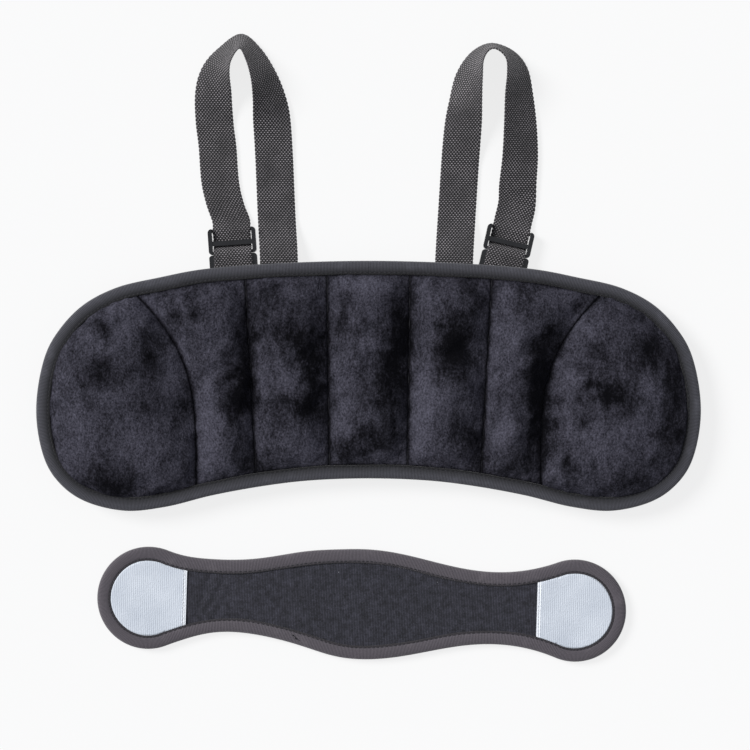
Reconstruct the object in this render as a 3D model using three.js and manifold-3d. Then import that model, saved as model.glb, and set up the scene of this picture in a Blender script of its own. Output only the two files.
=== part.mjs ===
// Padded back brace: a quilted plush pad with two buckled webbing loops, and its separate hook-end belt.
// Millimetres. X is the pad's length, Y is towards the loops, Z is up off the surface it lies on.
import * as THREE from "three";
import { mergeVertices } from "three/addons/utils/BufferGeometryUtils.js";
import Module from "manifold-3d";

const wasm = await Module();
wasm.setup();

// Pad
const PAD_LENGTH = 432;
const PAD_SHAPE = [
  [0, 71],
  [104, 66],
  [136, 60.2],
  [164, 53.5],
  [185, 42.6],
  [200, 27.5],
  [210, 9.8],
  [216, -27],
  [210, -59.4],
  [200, -74.4],
  [185, -85],
  [158.5, -91.5],
  [132, -89],
  [102, -81.6],
  [70, -75.7],
  [40, -72],
  [0, -70.5],
]; // right half of the outline at PAD_LENGTH
const PAD_SCALE = PAD_LENGTH / 432;
const grownBy = (x, y) => [x * (PAD_SCALE - 1), y * (PAD_SCALE - 1)]; // how far a point of the pad has moved
const PAD_MID = 12; // height of the seams above the surface
const FRONT_CROWN = 11.2;
const BACK_CROWN = 12.4;
const PROPPED_CROWN = 2.5; // back crown over the buckles
const COVER = 1.2;
// x of each seam, top and bottom
const SEAM_X = { inner: [26.9, 25.4], outer: [80, 73.3], wing: [150.3, 112.2] };
const SEAM_GAP = 0.9; // each side of a seam line, for the fold
const WING_SEAM_PULL = [
  [112, -20],
  [110, 8],
];

// Edge binding: a folded tape over the edges of both covers
const BINDING_WIDTH = 9;
const BINDING_TAPE = 0.8;
const LAYER_GAP = 0.3;
const FLANGE_HALF = COVER + LAYER_GAP / 2;
const BINDING_HALF = FLANGE_HALF + LAYER_GAP + BINDING_TAPE;
const FLANGE_EDGE = BINDING_TAPE + 0.4;
const DOME_EDGE = BINDING_WIDTH + 0.8;

// Webbing and buckles
const WEB_WIDTH = 25;
const WEB_THICK = 1.4;
const WEB_LOW = 0.3 + WEB_THICK / 2; // centre height of webbing lying flat
const ARCH_LOW = WEB_LOW + 0.8; // outer edge of the arch, clear of the surface
const WEB_SEWN_Z = PAD_MID - BINDING_HALF - 0.25 - WEB_THICK / 2;
const RAIL_CLEAR = 0.4;
const RAIL_INNER = WEB_WIDTH / 2 + RAIL_CLEAR;
const RAIL_WIDTH = 2.7;
const BUCKLE_HALF = RAIL_INNER + RAIL_WIDTH;
const LEG_SPREAD = WEB_WIDTH / 2 + BUCKLE_HALF; // least distance of the sewn leg from the buckle's middle
const PATH_SPREAD = 28.1; // the same distance for the loop paths below
const PLUG_TOP = 6.6;
const PLUG_LOW = 0.4;
const FRAME_END = 9.7;
const MOUTH = -7.6;
const SOCKET_REAR = -36;
const SOCKET_END = -44;
const SOCKET_LOW = 0.3;
const SOCKET_HEIGHT = 7.2;
const SOCKET_WALL = 1.3;
const PRONG_LOW = 2.4;
const PRONG_HIGH = 5.4;
const TAIL_END = -30;
const TAIL_Z = SOCKET_LOW + SOCKET_HEIGHT + LAYER_GAP + WEB_THICK / 2;

// Belt
const BELT_OFFSET = 61.6; // from the pad's lowest point to the belt's middle
const PAD_LOWEST = 91.5;
const BELT_CENTRE = [-4.5, -PAD_LOWEST * PAD_SCALE - BELT_OFFSET];
const BELT_TILT = -1.72;
const BELT_END_REACH = 139.5;
const BELT_END_RADIUS = 33.4;
const BELT_HUMP = 36;
const BELT_WAIST = 23.6;
const BELT_WAIST_AT = 87;
const BELT_LOW = 0.3;
const BELT_SHEET = 3.2;
const BELT_HALF = BELT_SHEET / 2 + LAYER_GAP + BINDING_TAPE;
const BELT_MID = BELT_LOW + BELT_HALF;
const HOOK_EDGE_AT = 114.5;
const HOOK_THICK = 1.3;
const BELT_GAP = 0.4; // each side of a belt hinge

const FINISH = {
  plush: { color: 0x17161c, roughness: 0.95, metalness: 0 },
  lining: { color: 0x1b1b1f, roughness: 0.9, metalness: 0 },
  foam: { color: 0xd8d4ca, roughness: 0.95, metalness: 0 },
  binding: { color: 0x303136, roughness: 0.85, metalness: 0 },
  webbing: { color: 0x2d2b2d, roughness: 0.8, metalness: 0 },
  plastic: { color: 0x222427, roughness: 0.35, metalness: 0 },
  knit: { color: 0x24242a, roughness: 0.9, metalness: 0 },
  beltTape: { color: 0x37343a, roughness: 0.85, metalness: 0 },
  hook: { color: 0xc8d0dc, roughness: 0.6, metalness: 0 },
};

const root = new THREE.Group();

function addMesh(name, geometry, finish) {
  const mesh = new THREE.Mesh(geometry, new THREE.MeshStandardMaterial(FINISH[finish]));
  mesh.name = name;
  root.add(mesh);
}

const clamp01 = (t) => Math.min(1, Math.max(0, t));
const smooth = (t) => clamp01(t) ** 2 * (3 - 2 * clamp01(t));
const lerp2 = (a, b, t) => [a[0] + (b[0] - a[0]) * t, a[1] + (b[1] - a[1]) * t];

// A closed indexed geometry with faces out, from points and triangles that may hold collapsed ones.
function closedGeometry(points, triangles) {
  const raw = new THREE.BufferGeometry();
  raw.setAttribute("position", new THREE.Float32BufferAttribute(points.flat(), 3));
  raw.setIndex(triangles.flat());
  const merged = mergeVertices(raw, 1e-3);
  const at = (i) => new THREE.Vector3().fromBufferAttribute(merged.attributes.position, i);
  const kept = [];
  let volume = 0;
  for (let i = 0; i < merged.index.count; i += 3) {
    const [a, b, c] = [0, 1, 2].map((k) => merged.index.getX(i + k));
    if (a === b || b === c || a === c) continue;
    kept.push([a, b, c]);
    volume += at(a).dot(at(b).cross(at(c)));
  }
  merged.setIndex(kept.flatMap(([a, b, c]) => (volume < 0 ? [a, c, b] : [a, b, c])));
  merged.computeVertexNormals();
  return merged;
}

// The solid between two surfaces over the same grid; each surface is a function of the grid indices.
function layerGeometry(columns, rows, upper, lower) {
  const points = [];
  const triangles = [];
  const index = (i, j, layer) => (i * (rows + 1) + j) * 2 + layer;
  for (let i = 0; i <= columns; i++) {
    for (let j = 0; j <= rows; j++) {
      points.push(upper(i, j), lower(i, j));
    }
  }
  const quad = (a, b, c, d) => triangles.push([a, b, c], [a, c, d]);
  for (let i = 0; i < columns; i++) {
    for (let j = 0; j < rows; j++) {
      quad(index(i, j, 0), index(i + 1, j, 0), index(i + 1, j + 1, 0), index(i, j + 1, 0));
      quad(index(i, j, 1), index(i, j + 1, 1), index(i + 1, j + 1, 1), index(i + 1, j, 1));
    }
  }
  for (let i = 0; i < columns; i++) {
    quad(index(i, 0, 0), index(i, 0, 1), index(i + 1, 0, 1), index(i + 1, 0, 0));
    quad(index(i, rows, 0), index(i + 1, rows, 0), index(i + 1, rows, 1), index(i, rows, 1));
  }
  for (let j = 0; j < rows; j++) {
    quad(index(0, j, 0), index(0, j + 1, 0), index(0, j + 1, 1), index(0, j, 1));
    quad(index(columns, j, 0), index(columns, j, 1), index(columns, j + 1, 1), index(columns, j + 1, 0));
  }
  return closedGeometry(points, triangles);
}

// A closed profile carried along stations; each station maps a profile point to space.
function sweptGeometry(stations, profile) {
  const n = profile.length;
  const points = stations.flatMap((place) => profile.map(([a, b]) => place(a, b)));
  const triangles = [];
  for (let s = 0; s + 1 < stations.length; s++) {
    for (let k = 0; k < n; k++) {
      const a = s * n + k;
      const b = s * n + ((k + 1) % n);
      triangles.push([a, b, b + n], [a, b + n, a + n]);
    }
  }
  const flat = profile.map(([a, b]) => new THREE.Vector2(a, b));
  const last = (stations.length - 1) * n;
  for (const [a, b, c] of THREE.ShapeUtils.triangulateShape(flat, [])) {
    const turned = THREE.ShapeUtils.area(flat) > 0 ? [a, c, b] : [a, b, c];
    triangles.push(turned);
    triangles.push([turned[2] + last, turned[1] + last, turned[0] + last]);
  }
  return closedGeometry(points, triangles);
}

// ---------------------------------------------------------------- pad outline and cells

const mirroredShape = PAD_SHAPE.slice(1, -1)
  .reverse()
  .map(([x, y]) => [-x, y]);
const padCurve = new THREE.CatmullRomCurve3(
  [...PAD_SHAPE, ...mirroredShape].map(([x, y]) => new THREE.Vector3(x * PAD_SCALE, y * PAD_SCALE, 0)),
  true,
);
padCurve.arcLengthDivisions = 1200;

// Point on the pad's outline at a share of its length, moved inwards.
function edgePoint(share, inset) {
  const wrapped = ((share % 1) + 1) % 1;
  const p = padCurve.getPointAt(wrapped);
  const t = padCurve.getTangentAt(wrapped);
  return [p.x + t.y * inset, p.y - t.x * inset];
}

// Share of the outline where the inset edge passes a given x, between two shares.
function shareAtX(x, from, to) {
  const rising = edgePoint(to, DOME_EDGE)[0] > edgePoint(from, DOME_EDGE)[0];
  let [low, high] = [from, to];
  for (let k = 0; k < 40; k++) {
    const middle = (low + high) / 2;
    if (edgePoint(middle, DOME_EDGE)[0] < x === rising) low = middle;
    else high = middle;
  }
  return (low + high) / 2;
}

const SIDE_SHARE = 0.25;
const seamShares = ([topX, bottomX]) => [
  shareAtX(topX * PAD_SCALE, 0, SIDE_SHARE),
  shareAtX(bottomX * PAD_SCALE, SIDE_SHARE, 0.5),
];
const innerSeam = seamShares(SEAM_X.inner);
const outerSeam = seamShares(SEAM_X.outer);
const wingSeam = seamShares(SEAM_X.wing);
const gapShare = SEAM_GAP / padCurve.getLength();

// The curved seam between the outer panel and the wing, moved sideways, from bottom (0) to top (1).
function wingSeamPoint(f, shift) {
  const side = Math.sign(shift) * gapShare;
  const ends = [edgePoint(wingSeam[1] - side, DOME_EDGE), edgePoint(wingSeam[0] + side, DOME_EDGE)];
  const pulls = WING_SEAM_PULL.map(([x, y]) => [(x + shift) * PAD_SCALE, y * PAD_SCALE]);
  const weights = [(1 - f) ** 3, 3 * f * (1 - f) ** 2, 3 * f * f * (1 - f), f ** 3];
  const nodes = [ends[0], pulls[0], pulls[1], ends[1]];
  return [0, 1].map((k) => nodes.reduce((sum, node, i) => sum + node[k] * weights[i], 0));
}

// A four-sided patch from its four edge curves.
function patch(bottom, top, left, right, a, f) {
  const [b, t, l, r] = [bottom(a), top(a), left(f), right(f)];
  const corners = [bottom(0), bottom(1), top(0), top(1)];
  return [0, 1].map(
    (k) =>
      (1 - f) * b[k] +
      f * t[k] +
      (1 - a) * l[k] +
      a * r[k] -
      (1 - f) * ((1 - a) * corners[0][k] + a * corners[1][k]) -
      f * ((1 - a) * corners[2][k] + a * corners[3][k]),
  );
}

// Grid lines closer together near both ends, where the filling starts.
const spaced = (t) => t - 0.1 * Math.sin(2 * Math.PI * t);
const across = (a) => 1 - Math.abs(2 * a - 1) ** 2.4;
const along = (f) => 1 - Math.abs(2 * f - 1) ** 5;

function channelCell(topShares, bottomShares, rightCurve) {
  const share = (range, a) => range[0] + (range[1] - range[0]) * a;
  const bottom = (a) => edgePoint(share(bottomShares, a), DOME_EDGE);
  const top = (a) => edgePoint(share(topShares, a), DOME_EDGE);
  const line = (a) => (f) => lerp2(bottom(a), top(a), f);
  const right = rightCurve || line(1);
  return {
    columns: 8,
    domeRows: 10,
    flat: (a, f, inset) => {
      if (f > 1) return edgePoint(share(topShares, a), inset);
      if (f < 0) return edgePoint(share(bottomShares, a), inset);
      return patch(bottom, top, line(0), right, a, f);
    },
    lift: (a, f) => across(a) * along(f),
    flanges: [true, true],
    bindings: [topShares, bottomShares],
  };
}

// The D-shaped wing: a runs up the seam and round the side, f runs from the seam (0) to the bound edge (1).
function wingCell() {
  const range = [wingSeam[1] - gapShare, wingSeam[0] + gapShare];
  const share = (a) => range[0] + (range[1] - range[0]) * a;
  return {
    columns: 20,
    domeRows: 7,
    flat: (a, f, inset) => {
      if (f > 1) return edgePoint(share(a), inset);
      return lerp2(wingSeamPoint(a, SEAM_GAP), edgePoint(share(a), DOME_EDGE), f);
    },
    lift: (a, f) => along(a) * (1 - Math.abs(2 * f - 1) ** 3),
    flanges: [false, true],
    bindings: [range],
  };
}

const cells = {
  centre: channelCell(
    [-innerSeam[0] + gapShare, innerSeam[0] - gapShare],
    [1 - innerSeam[1] - gapShare, innerSeam[1] + gapShare],
  ),
  inner: channelCell(
    [innerSeam[0] + gapShare, outerSeam[0] - gapShare],
    [innerSeam[1] - gapShare, outerSeam[1] + gapShare],
  ),
  outer: channelCell(
    [outerSeam[0] + gapShare, wingSeam[0] - gapShare],
    [outerSeam[1] - gapShare, wingSeam[1] + gapShare],
    (f) => wingSeamPoint(f, -SEAM_GAP),
  ),
  wing: wingCell(),
};

// Back crown at a point: shallow over the buckles, full elsewhere.
function backCrown(kind, y) {
  const propped = kind === "inner" || kind === "outer";
  return propped ? PROPPED_CROWN + (BACK_CROWN - PROPPED_CROWN) * smooth((12 - y) / 26) : BACK_CROWN;
}

function padPieces(kind, name, mirror) {
  const cell = cells[kind];
  const rows = cell.domeRows;
  const first = cell.flanges[0] ? 1 : 0;
  const total = rows + first + 1;
  const place = (i, j, height) => {
    const a = spaced(i / cell.columns);
    const f = j < first || j > rows + first ? (j - first) / rows : spaced((j - first) / rows);
    const [x, y] = cell.flat(a, f, FLANGE_EDGE);
    const lift = f < 0 || f > 1 ? 0 : cell.lift(a, f);
    return [mirror * x, y, height(lift, y)];
  };
  const front = (lift) => PAD_MID + FLANGE_HALF + FRONT_CROWN * lift;
  const back = (lift, y) => Math.max(0, PAD_MID - FLANGE_HALF - backCrown(kind, y) * lift);
  addMesh(
    name + "_front_cover",
    layerGeometry(
      cell.columns,
      total,
      (i, j) => place(i, j, front),
      (i, j) => place(i, j, (lift) => front(lift) - COVER),
    ),
    "plush",
  );
  addMesh(
    name + "_back_cover",
    layerGeometry(
      cell.columns,
      total,
      (i, j) => place(i, j, (lift, y) => back(lift, y) + COVER),
      (i, j) => place(i, j, back),
    ),
    "lining",
  );
  const within = COVER + LAYER_GAP;
  addMesh(
    name + "_foam_core",
    layerGeometry(
      cell.columns - 2,
      rows - 2,
      (i, j) => place(i + 1, j + first + 1, (lift) => front(lift) - within),
      (i, j) => place(i + 1, j + first + 1, (lift, y) => back(lift, y) + within),
    ),
    "foam",
  );
  const labels = cell.bindings.length === 1 ? ["_binding"] : ["_top_binding", "_bottom_binding"];
  cell.bindings.forEach((range, k) => {
    const stations = [];
    for (let i = 0; i <= cell.columns; i++) {
      const share = range[0] + (range[1] - range[0]) * spaced(i / cell.columns);
      stations.push((inset, z) => {
        const [x, y] = edgePoint(share, inset);
        return [mirror * x, y, PAD_MID + z];
      });
    }
    addMesh(name + labels[k], sweptGeometry(stations, bindingProfile(BINDING_HALF)), "binding");
  });
}

// Folded tape in section: inset from the edge, height from the middle.
function bindingProfile(half) {
  const slot = half - BINDING_TAPE;
  return [
    [0, -slot],
    [BINDING_TAPE, -half],
    [BINDING_WIDTH, -half],
    [BINDING_WIDTH, -slot],
    [BINDING_TAPE, -slot],
    [BINDING_TAPE, slot],
    [BINDING_WIDTH, slot],
    [BINDING_WIDTH, half],
    [BINDING_TAPE, half],
    [0, slot],
  ];
}

for (const [kind, name] of [
  ["inner", "inner_panel"],
  ["outer", "outer_panel"],
  ["wing", "wing"],
]) {
  padPieces(kind, "left_" + name, -1);
  padPieces(kind, "right_" + name, 1);
}
padPieces("centre", "centre_panel", 1);

// ---------------------------------------------------------------- manifold helpers for the moulded pieces

function solidOf(geometry) {
  const bare = geometry.index ? geometry.toNonIndexed() : geometry.clone();
  bare.deleteAttribute("normal");
  bare.deleteAttribute("uv");
  const merged = mergeVertices(bare, 1e-4);
  return new wasm.Manifold(
    new wasm.Mesh({
      numProp: 3,
      vertProperties: new Float32Array(merged.attributes.position.array),
      triVerts: new Uint32Array(merged.index.array),
    }),
  );
}

function geometryOf(solid) {
  const mesh = solid.getMesh();
  const geometry = new THREE.BufferGeometry();
  geometry.setAttribute("position", new THREE.BufferAttribute(new Float32Array(mesh.vertProperties), 3));
  geometry.setIndex(new THREE.BufferAttribute(new Uint32Array(mesh.triVerts), 1));
  geometry.computeVertexNormals();
  return geometry;
}

function block(x, y, z) {
  const box = new THREE.BoxGeometry(x[1] - x[0], y[1] - y[0], z[1] - z[0]);
  return solidOf(box.translate((x[0] + x[1]) / 2, (y[0] + y[1]) / 2, (z[0] + z[1]) / 2));
}

// A flat plate from a shape, between two heights.
function plate(shape, low, high, steps = 6) {
  const options = { depth: high - low, bevelEnabled: false, curveSegments: steps };
  const made = new THREE.ExtrudeGeometry(shape, options);
  return solidOf(made.translate(0, 0, low));
}

function roundedShape(x, y, radius) {
  const shape = new THREE.Shape();
  shape.moveTo(x[0] + radius, y[0]);
  shape.lineTo(x[1] - radius, y[0]);
  shape.absarc(x[1] - radius, y[0] + radius, radius, -Math.PI / 2, 0);
  shape.absarc(x[1] - radius, y[1] - radius, radius, 0, Math.PI / 2);
  shape.absarc(x[0] + radius, y[1] - radius, radius, Math.PI / 2, Math.PI);
  shape.absarc(x[0] + radius, y[0] + radius, radius, Math.PI, 1.5 * Math.PI);
  return shape;
}

// ---------------------------------------------------------------- buckle: Y up the strap, 0 at the bar

const SOCKET_TOP = SOCKET_LOW + SOCKET_HEIGHT;
const BAR_LOW = 4.2;
const END_BAR_TOP = 2.2;
const BASE_TOP = 5.6;
const ARM_ROOT = -7.5;

function plugSolid() {
  const wide = [-BUCKLE_HALF, BUCKLE_HALF];
  const within = [-RAIL_INNER, RAIL_INNER];
  const frame = plate(roundedShape(wide, [-7.2, FRAME_END], 2.4), PLUG_LOW, PLUG_TOP);
  const window = block(within, [-5, FRAME_END - 2.2], [-1, 9]);
  const overEnd = block(within, [FRAME_END - 2.3, FRAME_END + 1], [END_BAR_TOP, 9]);
  const overBase = block(within, [-8, -4.9], [BASE_TOP, 9]);
  const bar = block([-RAIL_INNER - 1, RAIL_INNER + 1], [-1.5, 1.6], [BAR_LOW, PLUG_TOP - 0.3]);
  const guide = block([-3.2, 3.2], [-24, -6], [PRONG_LOW, PRONG_HIGH]);
  return frame.subtract(window).subtract(overEnd).subtract(overBase).add(bar).add(guide);
}

// One release arm: runs from the plug's base into the socket and swells out through the side window.
function armSolid(side) {
  const at = (inward) => side * (BUCKLE_HALF - inward);
  const shape = new THREE.Shape();
  shape.moveTo(at(7.4), ARM_ROOT);
  shape.lineTo(at(4.2), ARM_ROOT);
  shape.bezierCurveTo(at(4.2), -12, at(2.2), -14.5, at(0.2), -18);
  shape.lineTo(at(0.2), -24);
  shape.bezierCurveTo(at(2), -27, at(4.2), -29, at(7), -30);
  shape.lineTo(at(8.4), -28.4);
  shape.bezierCurveTo(at(5.6), -24, at(5.6), -16, at(7.4), ARM_ROOT);
  return plate(shape, PRONG_LOW, PRONG_HIGH, 8);
}
function socketSolid() {
  const wide = [-BUCKLE_HALF, BUCKLE_HALF];
  const cavity = BUCKLE_HALF - SOCKET_WALL;
  const low = SOCKET_LOW + SOCKET_WALL;
  const high = SOCKET_TOP - SOCKET_WALL;
  const body = plate(roundedShape(wide, [SOCKET_END, MOUTH], 2), SOCKET_LOW, SOCKET_TOP);
  const hollow = block([-cavity, cavity], [SOCKET_REAR + SOCKET_WALL, MOUTH + 1], [low, high]);
  const windows = block([-BUCKLE_HALF - 1, BUCKLE_HALF + 1], [-26.5, -16], [low, high]);
  const slot = block([-RAIL_INNER, RAIL_INNER], [SOCKET_END + 2.8, SOCKET_REAR - 1.5], [-1, 9]);
  const overBar = block([-BUCKLE_HALF - 1, BUCKLE_HALF + 1], [SOCKET_END - 1, SOCKET_REAR - 1.5], [4.6, 9]);
  return body.subtract(hollow).subtract(windows).subtract(slot).subtract(overBar);
}

// ---------------------------------------------------------------- webbing

const LOOPS = {
  left: {
    bar: [-89, 83.1],
    tilt: 4,
    // x, y, height of the lower edge's centre, heading of the outer edge, lean: from the sewn end to the arch
    path: [
      [-58.3, 60, WEB_SEWN_Z, 0, 0],
      [-58.6, 76, 7.4, 0, 0],
      [-60.2, 101, WEB_LOW, 0, 0],
      [-61.7, 136.5, WEB_LOW, 0, 0],
      [-63, 160, ARCH_LOW, 0, 8],
      [-64.4, 176, ARCH_LOW, 6, 30],
      [-68.2, 191, ARCH_LOW, 25, 47],
      [-74.8, 205, ARCH_LOW, 52, 57],
      [-83.3, 213.6, ARCH_LOW, 90, 60],
      [-93.4, 205.2, ARCH_LOW, 130, 55],
      [-99.4, 194.5, ARCH_LOW, 158, 36],
      [-101.4, 180, ARCH_LOW, 176, 12],
      [-100.8, 162, WEB_LOW, 180, 0],
      [-98.9, 146, WEB_LOW, 180, 0],
      [-97.2, 123.5, WEB_LOW, 180, 0],
      [-94, 109, WEB_LOW, 181.5, 0],
    ],
    splitAfter: 11,
  },
  right: {
    bar: [91.3, 83.1],
    tilt: -13,
    path: [
      [55.4, 60, WEB_SEWN_Z, 180, 0],
      [56, 76, 7.4, 180, 0],
      [57.7, 101, WEB_LOW, 180, 0],
      [59.8, 134, WEB_LOW, 180, 0],
      [61.6, 158, ARCH_LOW, 180, 12],
      [63.2, 175, ARCH_LOW, 176, 32],
      [65.6, 191, ARCH_LOW, 162, 46],
      [71.2, 204.5, ARCH_LOW, 130, 66],
      [80.3, 210.4, ARCH_LOW, 92, 75],
      [91, 205.5, ARCH_LOW, 56, 68],
      [96.6, 195, ARCH_LOW, 24, 52],
      [98, 180, ARCH_LOW, 6, 40],
      [99, 160, ARCH_LOW, 0, 28],
      [99, 140, ARCH_LOW, 0, 18],
      [97.6, 122, ARCH_LOW, 0, 8],
      [97.1, 108.4, WEB_LOW, -13, 0],
    ],
    splitAfter: 11,
  },
};

// Height of the webbing's middle where it is threaded through the buckle, along the buckle's own Y.
const THREADED = [
  [15, WEB_LOW + 0.5],
  [FRAME_END - 1.1, END_BAR_TOP + LAYER_GAP + WEB_THICK / 2 + 0.1],
  [4.6, 2.9],
  [0, 2.6],
  [-2.3, 3.1],
  [-5, 7.2],
  [-7.6, TAIL_Z],
  [-12, TAIL_Z],
  [TAIL_END, TAIL_Z],
];

const radians = THREE.MathUtils.degToRad;

// The loop moves with the pad's edge, and its sewn leg keeps clear of the buckle.
function loopStations(loop, bar, outward) {
  const [cos, sin] = [Math.cos(radians(loop.tilt)), Math.sin(radians(loop.tilt))];
  const heading = outward > 0 ? 0 : 180;
  const onBuckle = ([y, z]) => [bar[0] - y * sin, bar[1] + y * cos, z, heading + loop.tilt, 0];
  const path = loop.path.map(([x, y, ...rest], k) => {
    const spread = (LEG_SPREAD - PATH_SPREAD) * clamp01((8 - k) / 4);
    return [x + bar[0] - loop.bar[0] - outward * spread, y + bar[1] - loop.bar[1], ...rest];
  });
  return [...path, ...THREADED.map(onBuckle)];
}

// Stations along the webbing; each maps a profile point (across, through) to space.
function webbing(stations, from, to, steps) {
  const curve = (pick) => new THREE.CatmullRomCurve3(stations.map(pick), false, "catmullrom", 0.5);
  const centre = curve(([x, y, z]) => new THREE.Vector3(x, y, z));
  const angles = curve(([, , , heading, lean]) => new THREE.Vector3(heading, lean, 0));
  const last = stations.length - 1;
  const places = [];
  for (let k = 0; k <= steps; k++) {
    const t = (from + ((to - from) * k) / steps) / last;
    const turn = angles.getPoint(t);
    const [heading, lean] = [radians(turn.x), radians(Math.max(0, turn.y))];
    const level = Math.cos(lean);
    const wide = new THREE.Vector3(Math.cos(heading) * level, Math.sin(heading) * level, -Math.sin(lean));
    const ahead = centre.getTangent(t);
    const through = new THREE.Vector3().crossVectors(wide, ahead).normalize();
    if (through.z < 0) through.negate();
    const middle = centre.getPoint(t);
    middle.z = Math.max(middle.z, WEB_LOW) + (WEB_WIDTH / 2) * Math.sin(lean);
    places.push((a, b) => middle.clone().addScaledVector(wide, a).addScaledVector(through, b).toArray());
  }
  return places;
}

const webSection = [
  [-WEB_WIDTH / 2, -WEB_THICK / 2],
  [WEB_WIDTH / 2, -WEB_THICK / 2],
  [WEB_WIDTH / 2, WEB_THICK / 2],
  [-WEB_WIDTH / 2, WEB_THICK / 2],
];

const TAB_LENGTH = 18;
const TAB_SEWN_Z = PAD_MID - FLANGE_HALF - PROPPED_CROWN - 1.25; // just under the back cover
const LOOP_AT = [SEAM_X.outer[0], 69]; // the point of the pad's edge that each loop belongs to

for (const [side, loop] of Object.entries(LOOPS)) {
  const outward = side === "right" ? 1 : -1;
  const [growX, growY] = grownBy(...LOOP_AT);
  const bar = [loop.bar[0] + outward * growX, loop.bar[1] + growY];
  const stations = loopStations(loop, bar, outward);
  const split = loop.splitAfter + 0.95;
  const strap = (name, from, to, steps) =>
    addMesh(side + name, sweptGeometry(webbing(stations, from, to, steps), webSection), "webbing");
  strap("_strap_webbing", 0, split - 0.02, 44);
  strap("_strap_buckle_leg", split, stations.length - 1, 48);
  const place = new THREE.Matrix4()
    .makeTranslation(bar[0], bar[1], 0)
    .multiply(new THREE.Matrix4().makeRotationZ(radians(loop.tilt)));
  const moulded = (name, solid) => addMesh(side + name, geometryOf(solid).applyMatrix4(place), "plastic");
  moulded("_buckle_plug", plugSolid());
  moulded("_buckle_outer_release_arm", armSolid(outward));
  moulded("_buckle_inner_release_arm", armSolid(-outward));
  moulded("_buckle_socket", socketSolid());
  const barY = SOCKET_END + 1.4;
  const tabPath = [
    [barY + 4.6, 2.9],
    [barY + 2.2, 5.3],
    [barY, 5.9],
    [barY - 4, TAB_SEWN_Z - 0.3],
    [barY - TAB_LENGTH, TAB_SEWN_Z],
  ];
  const tab = tabPath.map(([y, z]) => (a, b) => [a, y, z + b]);
  addMesh(side + "_buckle_tab", sweptGeometry(tab, webSection).applyMatrix4(place), "webbing");
}

// ---------------------------------------------------------------- belt: X along it, 0 at the middle

const WAIST_TO_END = BELT_END_REACH - BELT_WAIST_AT;
const WAIST_RADIUS =
  (WAIST_TO_END ** 2 + BELT_WAIST ** 2 - BELT_END_RADIUS ** 2) / (2 * (BELT_END_RADIUS - BELT_WAIST));

const onCircle = ([x, y], radius, angle) => [x + radius * Math.cos(angle), y + radius * Math.sin(angle)];

// Quarter outline from the middle of the top edge round to the tip, as curves joined end to end.
function beltQuarter() {
  const hump = [];
  for (let k = 0; k <= 9; k++) {
    const s = (BELT_WAIST_AT * k) / 9;
    const swing = (BELT_HUMP - BELT_WAIST) / 2;
    hump.push([s, BELT_WAIST + swing + swing * Math.cos((Math.PI * s) / BELT_WAIST_AT)]);
  }
  const waistCentre = [BELT_WAIST_AT, BELT_WAIST + WAIST_RADIUS];
  const meet = Math.atan2(waistCentre[1], waistCentre[0] - BELT_END_REACH);
  const arcs = [];
  for (let k = 1; k <= 5; k++) {
    const angle = -Math.PI / 2 + ((meet - Math.PI / 2) * k) / 5;
    arcs.push(onCircle(waistCentre, WAIST_RADIUS, angle));
  }
  for (let k = 1; k <= 8; k++) {
    const angle = meet * (1 - k / 8);
    arcs.push(onCircle([BELT_END_REACH, 0], BELT_END_RADIUS, angle));
  }
  return [...hump, ...arcs];
}

const quarter = beltQuarter();
const flipX = (points) => points.map(([x, y]) => [-x, y]);
const flipY = (points) => points.map(([x, y]) => [x, -y]);
// Clockwise from the middle of the top edge.
const beltLoop = [
  ...quarter,
  ...flipY(quarter).reverse().slice(1),
  ...flipX(flipY(quarter)).slice(1),
  ...flipX(quarter).reverse().slice(1, -1),
];

const bow = (s) => 3 * Math.exp(-(((s + 68) / 44) ** 4));

const beltPlace = (x, y) => {
  const [cos, sin] = [Math.cos(radians(BELT_TILT)), Math.sin(radians(BELT_TILT))];
  const bowed = y + bow(x);
  return [BELT_CENTRE[0] + x * cos - bowed * sin, BELT_CENTRE[1] + x * sin + bowed * cos];
};

// Outline points from one index to another, each moved inwards along the local normal.
function beltEdge(index, inset) {
  const n = beltLoop.length;
  const at = (k) => beltLoop[((k % n) + n) % n];
  const [before, here, after] = [at(index - 1), at(index), at(index + 1)];
  const along2 = [after[0] - before[0], after[1] - before[1]];
  const size = Math.hypot(...along2);
  return [here[0] + (along2[1] / size) * inset, here[1] - (along2[0] / size) * inset];
}

const QUARTER_END = quarter.length - 1;
const WAIST_INDEX = 9;
const HALF_LOOP = 2 * QUARTER_END;
const range = (from, to) => Array.from({ length: to - from + 1 }, (_, k) => from + k);

// Moves a point near a cut line back from it.
const shy = ([x, y], at, side) => [side * Math.max(side * x, side * at + BELT_GAP), y];
const BELT_CUT = BELT_WAIST_AT - BELT_GAP;
const trim = (points) => points.map(([x, y]) => [Math.sign(x) * Math.min(Math.abs(x), BELT_CUT), y]);

function sheetGeometry(points, low, high) {
  const placed = points.map(([x, y]) => new THREE.Vector2(...beltPlace(x, y)));
  const made = new THREE.ExtrudeGeometry(new THREE.Shape(placed), { depth: high - low, bevelEnabled: false });
  return geometryOf(solidOf(made.translate(0, 0, low)));
}

const SHEET_LOW = BELT_MID - BELT_SHEET / 2;
const SHEET_HIGH = BELT_MID + BELT_SHEET / 2;
const sheetInset = BINDING_TAPE + LAYER_GAP;
const waistRight = range(WAIST_INDEX, HALF_LOOP - WAIST_INDEX);
const waistLeft = range(HALF_LOOP + WAIST_INDEX, 2 * HALF_LOOP - WAIST_INDEX);
const waistTop = range(-WAIST_INDEX, WAIST_INDEX);
const waistBottom = range(HALF_LOOP - WAIST_INDEX, HALF_LOOP + WAIST_INDEX);

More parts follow.
